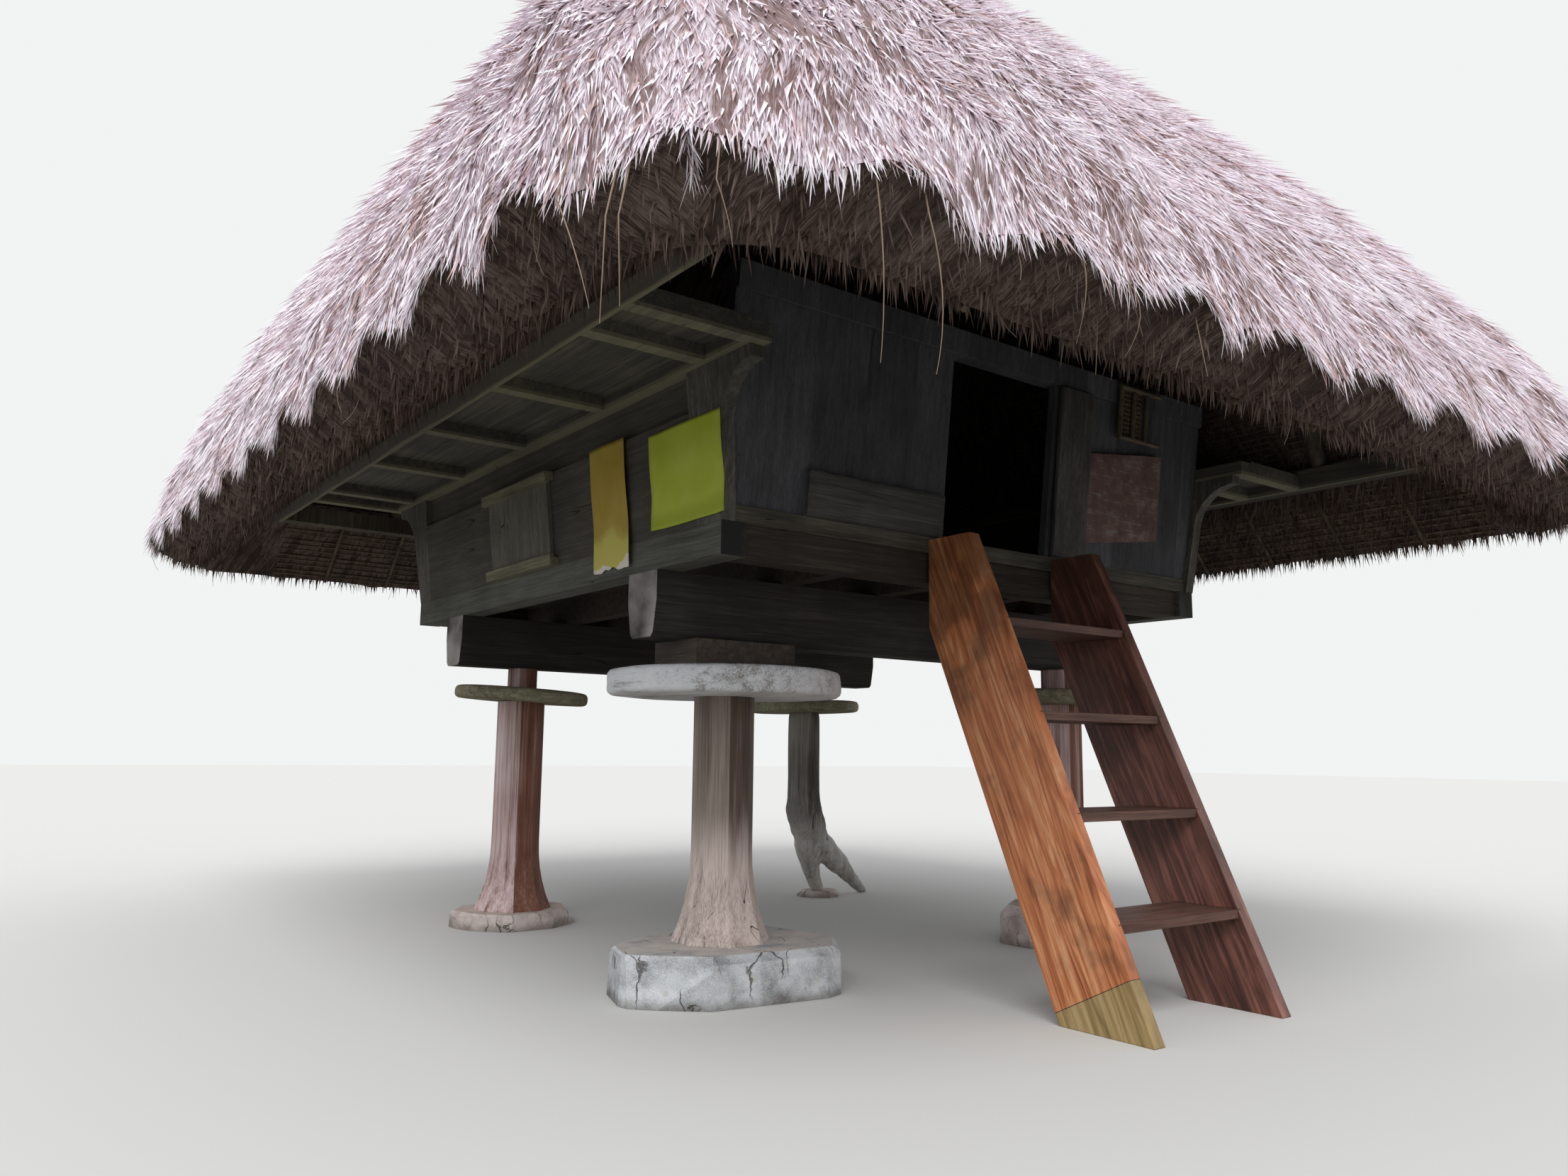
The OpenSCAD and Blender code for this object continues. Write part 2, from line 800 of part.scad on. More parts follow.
// Half sizes and corner radius of the roof's outside at a share of its height
function narrow(eave, peak, t) = eave + (peak - eave) * pow(t, bulge);
function roof_hx(t) = narrow(roof_w / 2, ridge_half, t);
function roof_hy(t) = narrow(roof_d / 2, peak_r, t);
function roof_cr(t) = narrow(roof_r, peak_r, t);
function roof_z(t) = eave_z + (roof_top - eave_z) * t;

// Steps of the bunches along a side's straight part
function side_steps(k) =
    bunch_n * round(((k % 2 == 0 ? roof_w : roof_d) - 2 * roof_r) / bunch_w);

// How far a point lies in the hollow between two bunches, which alternate from level to level
function hollow(i, j) = (1 + cos(360 / bunch_n * i + 180 * j)) / 2;

// Row of the outside at a level: bunches stand out on the slope and hang down at the rim
function outer_row(k, j) =
    let (
        t = cover * j / level_n,
        n = side_steps(k),
        depth = bunch_d * (1 - pow(j / level_n, 4)))
    [for (i = [0 : n + 2 * turn_n])
        let (
            d = depth * hollow(i, j),
            rim = j == 0 ? bunch_h * hollow(i, 0) : 0)
            side_row(k, n, roof_hx(t) - d, roof_hy(t) - d, roof_cr(t) - d, roof_z(t) + rim)[i]];

// Row of the inner edge of the face under the rim
function lip_row(k) = side_row(
    k, side_steps(k), roof_w / 2 - fringe_w, roof_d / 2 - fringe_w,
    max(roof_r - fringe_w, peak_r), eave_z - fringe_h);

// Bed of the thatch over the rafters at a share of their length
function bed_row(k, s) = side_row(
    k, 1, ring_x - run_x * s, ring_y + (slot - ring_y) * s, slot_r, beam_top + bed + rise * s);

// One slope of thatch, closed by the outside, the top, the bed and the face under the rim
module slope(k) {
    n = level_n;
    outer = [for (j = [0 : n]) outer_row(k, j)];
    top = side_row(k, 1, ridge_half, slot, slot_r, roof_z(cover));
    beds = [for (j = [n - 1 : -1 : 0]) bed_row(k, j / (n - 1))];
    rows = concat(outer, [top], beds, [lip_row(k)]);
    m = len(rows);
    points = [for (row = rows) for (p = row) p];
    wide = len(outer[0]);
    slim = len(top);
    steps = wide - slim + 1;

    // Number of a row's first point, and of the point that stands for a column of the widest rows
    function start(j) = min(j, n + 1) * wide + max(0, j - n - 1) * slim;
    function slim_column(i) =
        i <= turn_n ? i : i < turn_n + steps / 2 ? turn_n : max(turn_n + 1, i - steps + 1);
    function corner(j, i) = start(j) + (len(rows[j]) == wide ? i : slim_column(i));

    skin = [
        for (j = [0 : m - 1], i = [0 : wide - 2])
            let (
                a = corner(j, i),
                b = corner((j + 1) % m, i),
                c = corner((j + 1) % m, i + 1),
                d = corner(j, i + 1))
                for (f = [[a, b, c], [a, c, d]])
                    if (f[0] != f[1] && f[1] != f[2] && f[2] != f[0]) f];

    // Both ends are cut in the same triangles, so that neighbouring slopes meet
    strips = [
        for (j = [0 : n - 1])
            for (f = [[j + 1, j, 2 * n + 1 - j], [j + 1, 2 * n + 1 - j, 2 * n - j]]) f];
    ends = concat(strips, [[0, m - 1, m - 2]]);
    left = [for (f = ends) [for (j = f) corner(j, 0)]];
    right = [for (f = ends) [for (i = [2, 1, 0]) corner(f[i], wide - 1)]];
    color(thatch_tone)
        polyhedron(points = points, faces = concat(skin, left, right), convexity = 6);
}

// Cap of bundled thatch over the top of the slopes
module ridge_cap() {
    hx = roof_hx(cover) + cap_out;
    hy = roof_hy(cover) + cap_out;
    z0 = roof_z(cover);
    n = 4 * turn_n + 1;
    color("#7d6c61")
        hull()
            for (s = [0, 0.35, 0.7, 1])
                let (r = hy * sqrt(1 - s * s * cap_round))
                    translate([0, 0, z0 + (roof_top - cap_step - z0) * s])
                        linear_extrude(height = cap_step)
                            polygon([for (i = [0 : n - 1])
                                let (a = i * 360 / n)
                                    [(cos(a) > 0 ? 1 : -1) * (hx - hy) + r * cos(a), r * sin(a)]]);
}

// Stringer seen from the side, cut level at the ground and upright at the rail
module stringer_outline() {
    foot = string_y - string_top * tread_run;
    wall = string_y + ladder_lead;
    polygon([
        [foot, 0],
        [foot + string_level, 0],
        [wall, (wall - foot - string_level) / tread_run],
        [wall, string_top],
        [string_y, string_top]]);
}

// Treads with their ends housed in the stringers; grow widens them to cut the housings
module tread_set(grow) {
    half = ladder_w / 2 - string_t + tread_in - board_gap + grow;
    for (i = [1 : tread_n]) {
        z = i * tread_rise;
        y = string_y - (string_top - z) * tread_run;
        translate([-half, y - grow, z - tread_t - grow])
            cube([2 * half, tread_d + 2 * grow, tread_t + 2 * grow]);
    }
}

// Right stringer with the housings for the treads
module stringer() {
    color(ladder_tone)
        difference() {
            translate([ladder_w / 2 - string_t, 0, 0])
                rotate([90, 0, 90])
                    linear_extrude(height = string_t)
                        stringer_outline();
            tread_set(board_gap);
        }
}

module treads() {
    color(ladder_tone)
        tread_set(0);
}

at_post(-1, -1) stone(split_block, stone_a_w, stone_a_d, stone_front_t);  // stone_fl
at_post(1, -1) stone(field_stone(33), stone_w, stone_w * 0.9, stone_front_t);  // stone_fr
at_post(-1, 1) stone(field_stone(5), stone_w, stone_w * 0.9, stone_back_t);  // stone_bl
at_rooted_post() translate([toe_near, toe_y, 0]) stone(field_stone(21), pad_w, pad_w * 0.9, pad_t);  // stone_br
at_post(-1, -1) post(stone_front_t, guard_z(guard_a_t));  // post_fl
at_post(1, -1) post(stone_front_t, guard_z(guard_t));  // post_fr
at_post(-1, 1) post(stone_back_t, guard_z(guard_t));  // post_bl
at_rooted_post() rooted_post(guard_z(guard_t));  // post_br
at_post(-1, -1) translate([0, 0, guard_z(guard_a_t)]) guard(guard_a_d, guard_a_t);  // guard_fl
at_post(1, -1) translate([0, 0, guard_z(guard_t)]) guard(guard_d, guard_t);  // guard_fr
at_post(-1, 1) translate([0, 0, guard_z(guard_t)]) guard(guard_d, guard_t);  // guard_bl
at_rooted_post() translate([0, 0, guard_z(guard_t)]) guard(guard_d, guard_t);  // guard_br
head_block();
girder(-1);  // girder_front
girder(1);  // girder_back
mirror([1, 0, 0]) sill();  // sill_left
sill();  // sill_right
floor_frame();
floor_boards();
mirror([1, 0, 0]) side_wall(true);  // wall_left
side_wall(false);  // wall_right
wall_back();
rotate([0, 0, 180]) door_side();  // wall_front_left
mirror([0, 1, 0]) door_side();  // wall_front_right
color("#8a7c6d") mirror([0, 1, 0]) rail();  // rail_front
color(wall_tone) mirror([0, 1, 0]) head();  // head_front
mirror([1, 0, 0]) corners();  // corners_left
corners();  // corners_right
mirror([1, 0, 0]) shutter();
mirror([1, 0, 0]) shutter_rails();
mirror([1, 0, 0]) side_eave();  // eave_left
side_eave();  // eave_right
mirror([0, 1, 0]) back_rafters();  // rafters_front
back_rafters();  // rafters_back
mirror([1, 0, 0]) side_rafters();  // rafters_left
side_rafters();  // rafters_right
ridge_pole();
slope(0);  // thatch_front
slope(2);  // thatch_back
slope(3);  // thatch_left
slope(1);  // thatch_right
ridge_cap();
mirror([1, 0, 0]) stringer();  // stringer_left
stringer();  // stringer_right
treads();
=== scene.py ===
"""Looks of a raised granary: weathered timber, grass thatch, reed laths, rough stones, bare sheets."""

import logging
import math
from dataclasses import dataclass, field
from enum import Enum

import bmesh
import bpy
import numpy as np
from mathutils import Matrix, Vector, noise
from mathutils.bvhtree import BVHTree


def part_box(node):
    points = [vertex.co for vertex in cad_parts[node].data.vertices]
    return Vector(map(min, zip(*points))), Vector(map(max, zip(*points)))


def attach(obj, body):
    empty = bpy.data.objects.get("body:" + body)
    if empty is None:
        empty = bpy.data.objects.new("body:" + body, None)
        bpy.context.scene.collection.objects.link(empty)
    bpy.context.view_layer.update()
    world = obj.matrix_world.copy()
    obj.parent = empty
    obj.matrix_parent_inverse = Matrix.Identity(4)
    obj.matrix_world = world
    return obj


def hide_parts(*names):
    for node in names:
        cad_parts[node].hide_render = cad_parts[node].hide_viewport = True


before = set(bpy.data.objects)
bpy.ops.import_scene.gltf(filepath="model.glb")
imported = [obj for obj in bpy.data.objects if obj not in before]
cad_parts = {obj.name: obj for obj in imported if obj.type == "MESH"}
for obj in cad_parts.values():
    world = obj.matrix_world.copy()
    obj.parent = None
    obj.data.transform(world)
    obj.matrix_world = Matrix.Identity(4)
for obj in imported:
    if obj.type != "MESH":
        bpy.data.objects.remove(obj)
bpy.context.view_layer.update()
LOG = logging.getLogger("granary")
ROOT = "root"
LOCK_SCALE = (16.0, 3.4, 1.0)
BOARD_JUMP = 17.0
MERGE_DISTANCE = 0.0002
FRINGE_SEED = 40
TWIST = 0.7
SWIRLS = ((2.6, 0.16), (14.0, 0.42))
# Colour of the painted shade at the eave boards' outer ends, beside the thatch.
UNDER_THATCH_SHADE = "#32272a"
Socket = bpy.types.NodeSocket
Sockets = bpy.types.bpy_prop_collection
Tree = bpy.types.NodeTree
Material = bpy.types.Material
MeshObject = bpy.types.Object
NodeGroup = bpy.types.GeometryNodeTree
Place = tuple[float, float, float]
Ring = tuple[float, float, float, float]


class Axis(Enum):
    """Direction in which the fibres of a wooden piece run."""

    X = 0
    Y = 1
    Z = 2


class Side(Enum):
    """Side of the building and slope of the roof."""

    FRONT = 0
    RIGHT = 1
    BACK = 2
    LEFT = 3


# ---- helpers for nodes and meshes


def linear(code: str) -> tuple[float, float, float, float]:
    """Turn an sRGB colour such as #8a7c6d to linear values.

    Args:
        code: Colour as a hash and six hexadecimal digits.

    Returns:
        Red, green, blue and an alpha of 1.
    """
    parts = [int(code[i:i + 2], 16) / 255 for i in (1, 3, 5)]
    values = [c / 12.92 if c <= 0.04045 else ((c + 0.055) / 1.055) ** 2.4 for c in parts]
    return values[0], values[1], values[2], 1.0


def add(tree: Tree, kind: str, inputs: dict | None = None, **settings: object) -> bpy.types.Node:
    """Add a node to a tree, with its settings and links.

    Args:
        tree: Tree that gets the node.
        kind: Type of the node.
        inputs: Values, or output sockets to link, by the input's name or number.
        settings: Properties of the node.

    Returns:
        The new node.
    """
    node = tree.nodes.new(kind)
    for name, value in settings.items():
        setattr(node, name, value)
    for key, value in (inputs or {}).items():
        if isinstance(value, bpy.types.NodeSocket):
            tree.links.new(value, node.inputs[key])
        else:
            node.inputs[key].default_value = value
    return node


def reckon(tree: Tree, operation: str, *terms: float | Socket, clamp: bool = False) -> Socket:
    """Combine numbers with one mathematical operation.

    Args:
        tree: Tree that gets the node.
        operation: Name of the operation.
        terms: Numbers or output sockets.
        clamp: Whether the result is kept between 0 and 1.

    Returns:
        The result's socket.
    """
    node = add(tree, "ShaderNodeMath", dict(enumerate(terms)), operation=operation, use_clamp=clamp)
    return node.outputs[0]


def about_half(tree: Tree, pattern: Socket, weight: float, base: float | Socket) -> Socket:
    """Add a pattern's swing about one half, times a weight, to a base value."""
    return reckon(tree, "MULTIPLY_ADD", reckon(tree, "SUBTRACT", pattern, 0.5), weight, base)


def joined(tree: Tree, operation: str, first: Socket, second: Socket | Place | float = 0.0) -> Socket:
    """Combine vectors with one operation.

    Args:
        tree: Tree that gets the node.
        operation: Name of the operation.
        first: The first vector.
        second: The second vector, or the factor that SCALE takes; NORMALIZE takes none.

    Returns:
        The result's socket, a number after DOT_PRODUCT.
    """
    inputs = {0: first}
    if operation != "NORMALIZE":
        inputs["Scale" if operation == "SCALE" else 1] = second
    node = add(tree, "ShaderNodeVectorMath", inputs, operation=operation)
    return node.outputs["Value" if operation == "DOT_PRODUCT" else "Vector"]


def cloud(tree: Tree, place: Socket, scale: float, detail: float, rough: float = 0.5,
          bend: float = 0.0) -> Socket:
    """Soft noise between 0 and 1.

    Args:
        tree: Tree that gets the node.
        place: Coordinates.
        scale: Scale of the noise.
        detail: Octaves of the noise.
        rough: Share of each further octave.
        bend: Distortion of the noise.

    Returns:
        The noise's socket.
    """
    inputs = {"Vector": place, "Scale": scale, "Detail": detail, "Roughness": rough, "Distortion": bend}
    return add(tree, "ShaderNodeTexNoise", inputs).outputs[0]


def own_place(tree: Tree) -> Socket:
    """Coordinates in the piece's own frame, in metres."""
    return add(tree, "ShaderNodeTexCoord").outputs["Object"]


def drawn_out(tree: Tree, place: Socket, scale: Place | list[float]) -> Socket:
    """Coordinates scaled by a factor for each axis."""
    return add(tree, "ShaderNodeMapping", {"Vector": place, "Scale": scale}).outputs[0]


def blend(tree: Tree, share: Socket, first: Socket | tuple, second: Socket | tuple) -> Socket:
    """Mix two colours by a share.

    Args:
        tree: Tree that gets the node.
        share: Share of the second colour.
        first: The first colour, or its socket.
        second: The second colour, or its socket.

    Returns:
        The mixed colour's socket.
    """
    return add(tree, "ShaderNodeMix", {0: share, 6: first, 7: second}, data_type="RGBA").outputs[2]


def fade(tree: Tree, amount: Socket, low: float, high: float) -> Socket:
    """Map a value smoothly from 0 at one limit to 1 at the other.

    Args:
        tree: Tree that gets the node.
        amount: Value to map.
        low: Value that gives 0.
        high: Value that gives 1.

    Returns:
        The mapped value's socket.
    """
    node = add(tree, "ShaderNodeMapRange", {0: amount, 1: low, 2: high}, interpolation_type="SMOOTHSTEP")
    return node.outputs[0]


def tint(tree: Tree, share: Socket, weight: float, base: Socket, code: str) -> Socket:
    """Cover a colour with another one, given as a hex code, by a weighted share."""
    if weight != 1.0:
        share = reckon(tree, "MULTIPLY", share, weight)
    return blend(tree, share, base, linear(code))


def locks(tree: Tree, place: Socket) -> Socket:
    """Pattern of the thatch's locks, half a hand wide and long down the slope, low in the gaps.

    Args:
        tree: Tree that gets the nodes.
        place: Coordinates across and up the slope in metres.

    Returns:
        The pattern's socket.
    """
    return cloud(tree, joined(tree, "MULTIPLY", place, LOCK_SCALE), 1.0, 1.5, bend=0.5)


def ramp(tree: Tree, factor: Socket, stops: tuple[tuple[float, str], ...]) -> Socket:
    """Colour a factor through stops.

    Args:
        tree: Tree that gets the ramp.
        factor: Socket with a value from 0 to 1.
        stops: Pairs of a position and an sRGB colour.

    Returns:
        The colour's socket.
    """
    node = add(tree, "ShaderNodeValToRGB", {0: factor})
    elements = node.color_ramp.elements
    while len(elements) < len(stops):
        elements.new(0.5)
    for element, (place, code) in zip(elements, stops):
        element.position = place
        element.color = linear(code)
    return node.outputs[0]


def finish_of(name: str, rough: float) -> tuple[Material, Tree, bpy.types.Node]:
    """Start a node material with its main shader and output.

    Args:
        name: Name of the material.
        rough: Roughness of the whole surface.

    Returns:
        The material, its tree and its Principled BSDF.
    """
    material = bpy.data.materials.new(name)
    material.use_nodes = True
    tree = material.node_tree
    tree.nodes.clear()
    body = add(tree, "ShaderNodeBsdfPrincipled", {"Roughness": rough})
    add(tree, "ShaderNodeOutputMaterial", {"Surface": body.outputs[0]})
    return material, tree, body


def cover(tree: Tree, body: bpy.types.Node, colour: Socket, height: Socket, relief: tuple[float, float],
          edge_radius: float = 0.0) -> None:
    """Give a main shader its colour and its relief.

    Args:
        tree: Tree that gets the nodes.
        body: The main shader.
        colour: Colour of the surface.
        height: Pattern of the relief.
        relief: The relief's strength and its depth in metres.
        edge_radius: Radius of the worn edges in metres, or 0 for sharp ones.
    """
    inputs = {"Strength": relief[0], "Distance": relief[1], "Height": height}
    if edge_radius:
        inputs["Normal"] = add(tree, "ShaderNodeBevel", {"Radius": edge_radius}, samples=3).outputs[0]
    tree.links.new(colour, body.inputs["Base Color"])
    tree.links.new(add(tree, "ShaderNodeBump", inputs).outputs[0], body.inputs["Normal"])


def new_piece(name: str, points: list | np.ndarray, faces: list, *materials: Material) -> MeshObject:
    """Make an object from points and faces.

    Args:
        name: Name of the object.
        points: Corner points in metres.
        faces: Lists of point numbers.
        materials: Materials of the mesh.

    Returns:
        The new object, linked to the scene.
    """
    mesh = bpy.data.meshes.new(name)
    mesh.from_pydata([tuple(p) for p in points], [], [tuple(f) for f in faces])
    for material in materials:
        mesh.materials.append(material)
    piece = bpy.data.objects.new(name, mesh)
    bpy.context.scene.collection.objects.link(piece)
    return piece


def face_outwards(mesh: bpy.types.Mesh) -> None:
    """Turn all faces of a closed mesh outwards.

    Args:
        mesh: Mesh to turn.
    """
    work = bmesh.new()
    work.from_mesh(mesh)
    bmesh.ops.recalc_face_normals(work, faces=work.faces)
    work.to_mesh(mesh)
    work.free()


def apply_modifiers(piece: MeshObject) -> None:
    """Keep the evaluated mesh of a piece and drop its modifiers.

    Args:
        piece: Piece with live modifiers.
    """
    graph = bpy.context.evaluated_depsgraph_get()
    mesh = bpy.data.meshes.new_from_object(piece.evaluated_get(graph))
    piece.modifiers.clear()
    old = piece.data
    piece.data = mesh
    bpy.data.meshes.remove(old)
    mesh.name = piece.name


def run_tree(piece: MeshObject, tree: NodeGroup, values: dict) -> None:
    """Run a Geometry Nodes tree on a piece and keep the result as a plain mesh.

    Args:
        piece: Piece that gets the result.
        tree: Tree to run.
        values: Values of the tree's inputs by name.
    """
    modifier = piece.modifiers.new(tree.name, "NODES")
    modifier.node_group = tree
    for item in tree.interface.items_tree:
        if item.in_out == "INPUT" and item.name in values:
            modifier[item.identifier] = values[item.name]
    apply_modifiers(piece)


def copy_of(node: str, name: str, finish: Material) -> MeshObject:
    """Merged copy of a solid, as the start of a rougher piece.

    Args:
        node: Name of the solid.
        name: Name of the piece.
        finish: Its material.

    Returns:
        The piece.
    """
    piece = new_piece(name, [], [], finish)
    work = bmesh.new()
    work.from_mesh(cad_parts[node].data)
    bmesh.ops.remove_doubles(work, verts=work.verts, dist=MERGE_DISTANCE)
    for face in work.faces:
        face.material_index = 0
    work.to_mesh(piece.data)
    work.free()
    return piece


def skin_over(piece: MeshObject, voxel: float) -> None:
    """Add a modifier that merges what overlaps into one smooth skin of even faces."""
    merge = piece.modifiers.new("skin_over", "REMESH")
    merge.mode = "VOXEL"
    merge.voxel_size = voxel
    merge.use_smooth_shade = True


def settle(piece: MeshObject, slot: str, *nodes: str) -> None:
    """Make a finished piece ride on the building and report it.

    Args:
        piece: The finished piece.
        slot: Not used.
        nodes: Nodes that the piece stands for.
    """
    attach(piece, ROOT)
    if nodes:
        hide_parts(*nodes)
    count = sum(len(p.vertices) - 2 for p in piece.data.polygons)
    LOG.info("%s: %d triangles", piece.name, count)


def dress(material: Material, *nodes: str) -> None:
    """Give nodes a finish.

    Args:
        material: The finish.
        nodes: Names of the nodes.
    """
    for name in nodes:
        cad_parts[name].data.materials[0] = material
        LOG.info("%s: %s", name, material.name)


def stored(tree: Tree, name: str, kind: str = "FLOAT") -> Socket:
    """Attribute of the mesh, read by its name."""
    return add(tree, "GeometryNodeInputNamedAttribute", {"Name": name}, data_type=kind).outputs[0]


def chance(tree: Tree, low: float | Place, high: float | Place, seed: int) -> Socket:
    """Random value for each blade: a number, or a vector where the limits are vectors."""
    if isinstance(low, tuple):
        inputs, kind, output = {0: low, 1: high, "Seed": seed}, "FLOAT_VECTOR", 0
    else:
        inputs, kind, output = {2: low, 3: high, "Seed": seed}, "FLOAT", 1
    return add(tree, "FunctionNodeRandomValue", inputs, data_type=kind).outputs[output]


def tree_with(name: str, inputs: dict[str, str]) -> tuple[NodeGroup, bpy.types.Node]:
    """Start a Geometry Nodes tree with a geometry socket and named inputs.

    Args:
        name: Name of the tree.
        inputs: Type of each input socket by its name.

    Returns:
        The tree and its group input node.
    """
    tree = bpy.data.node_groups.new(name, "GeometryNodeTree")
    tree.interface.new_socket("Geometry", in_out="INPUT", socket_type="NodeSocketGeometry")
    for label, kind in inputs.items():
        tree.interface.new_socket(label, in_out="INPUT", socket_type="NodeSocket" + kind)
    tree.interface.new_socket("Geometry", in_out="OUTPUT", socket_type="NodeSocketGeometry")
    return tree, add(tree, "NodeGroupInput")


# ---- finishes


@dataclass(frozen=True)
class Timber:
    """Hand-adzed hardwood, grey and fissured from weather: drawn-out fibres, stains and dark cracks."""

    name: str
    dark: str
    middle: str
    pale: str
    grain: Axis = Axis.X
    fibre: float = 0.004
    run: float = 0.2
    board: float = 0.0
    end_colour: str = ""
    lit_side_colour: str = ""
    lit_side: Place = (-0.9, -0.35, 0.1)
    lower_colour: str = ""
    lower_level: float = 0.0
    lower_blur: float = 0.002
    shade_past: float = 0.0
    rough: float = 0.85
    relief: float = 0.0015
    cracks: float = 0.5

    def make(self) -> Material:
        """Build the material."""
        material, tree, body = finish_of(self.name, self.rough)
        place = own_place(tree)
        axes = add(tree, "ShaderNodeSeparateXYZ", {0: place}).outputs
        tone = None
        if self.board:
            tone = self.board_tone(tree, axes[0])
            jump = reckon(tree, "MULTIPLY", tone, BOARD_JUMP)
            moved = add(tree, "ShaderNodeCombineXYZ", {0: jump, 1: jump, 2: jump}).outputs[0]
            place = joined(tree, "ADD", place, moved)
        fine = self.streaks(tree, place, self.fibre, self.run, 6.0)
        coarse = self.streaks(tree, place, self.fibre * 7, self.run * 4, 3.0)
        stain = cloud(tree, place, 2.6, 4.0)
        mixed = reckon(tree, "MULTIPLY_ADD", fine, 0.5, reckon(tree, "MULTIPLY", coarse, 0.4))
        mixed = reckon(tree, "MULTIPLY_ADD", stain, 0.35, mixed)
        if tone:
            mixed = about_half(tree, tone, 0.22, mixed)
        colour = ramp(tree, mixed, ((0.44, self.dark), (0.62, self.middle), (0.8, self.pale)))
        normal = add(tree, "ShaderNodeNewGeometry").outputs["Normal"]
        # Painted light: faces that turn toward the front left, where the lamp stands, get the paler lit-side
        # colour, broken up by the coarse streaks.
        if self.lit_side_colour:
            worn = about_half(tree, coarse, 1.6, joined(tree, "DOT_PRODUCT", normal, self.lit_side))
            bleached = ramp(tree, mixed, ((0.42, self.middle), (0.72, self.lit_side_colour)))
            colour = blend(tree, fade(tree, worn, 0.45, 0.85), colour, bleached)
        if self.end_colour:
            facing = add(tree, "ShaderNodeSeparateXYZ", {0: normal}).outputs[self.grain.value]
            cut = fade(tree, reckon(tree, "ABSOLUTE", facing), 0.8, 0.95)
            sawn = ramp(tree, stain, ((0.32, self.middle), (0.52, self.end_colour)))
            colour = blend(tree, cut, colour, sawn)
        if self.lower_colour:
            level = about_half(tree, coarse, self.lower_blur * 4, axes[2])
            low = fade(tree, level, self.lower_level + self.lower_blur, self.lower_level - self.lower_blur)
            below = ramp(tree, mixed, ((0.4, self.middle), (0.68, self.lower_colour)))
            colour = blend(tree, low, colour, below)
        # Painted shade: beyond a distance from the middle along X the boards are darkened, at their outer
        # ends beside the thatch.
        if self.shade_past:
            level = about_half(tree, stain, 0.05, reckon(tree, "ABSOLUTE", axes[0]))
            past = fade(tree, level, self.shade_past, self.shade_past + 0.02)
            colour = tint(tree, past, 0.8, colour, UNDER_THATCH_SHADE)
        split = self.fissures(tree, place)
        colour = tint(tree, split, 1.0, colour, "#15110f")
        height = reckon(tree, "MULTIPLY_ADD", split, -1.5, reckon(tree, "ADD", fine, coarse))
        cover(tree, body, colour, height, (0.8, self.relief), 0.005)
        return material

    def streaks(self, tree: Tree, place: Socket, across: float, along: float, detail: float) -> Socket:
        """Noise drawn out along the fibres.

        Args:
            tree: Tree that gets the nodes.
            place: Coordinates in metres.
            across: Width of a streak in metres.
            along: Length of a streak in metres.
            detail: Octaves of the noise.

        Returns:
            The noise's socket.
        """
        scale = [1 / across] * 3
        scale[self.grain.value] = 1 / along
        return cloud(tree, drawn_out(tree, place, scale), 1.0, detail, 0.6, 0.3)

    def fissures(self, tree: Tree, place: Socket) -> Socket:
        """Drying cracks along the fibres, open over short stretches only.

        Args:
            tree: Tree that gets the nodes.
            place: Coordinates in metres.

        Returns:
            A socket that is 1 in a crack.
        """
        line = self.streaks(tree, place, 0.06, 1.2, 1.0)
        where = self.streaks(tree, place, 0.15, 0.5, 1.0)
        gap = reckon(tree, "ABSOLUTE", reckon(tree, "SUBTRACT", line, 0.5))
        width = reckon(tree, "MULTIPLY", reckon(tree, "SUBTRACT", where, 0.68 - 0.25 * self.cracks), 0.05)
        return reckon(tree, "MULTIPLY", reckon(tree, "SUBTRACT", width, gap), 260.0, clamp=True)

    def board_tone(self, tree: Tree, along: Socket) -> Socket:
        """A random tone for each board of a row of equal boards, which follow each other along X.

        Args:
            tree: Tree that gets the nodes.
            along: Place along the row in metres.

        Returns:
            A socket from 0 to 1.
        """
        positive = reckon(tree, "ADD", along, 100 * self.board)
        number = reckon(tree, "FLOOR", reckon(tree, "DIVIDE", positive, self.board))
        return add(tree, "ShaderNodeTexWhiteNoise", {"W": number}, noise_dimensions="1D").outputs[0]


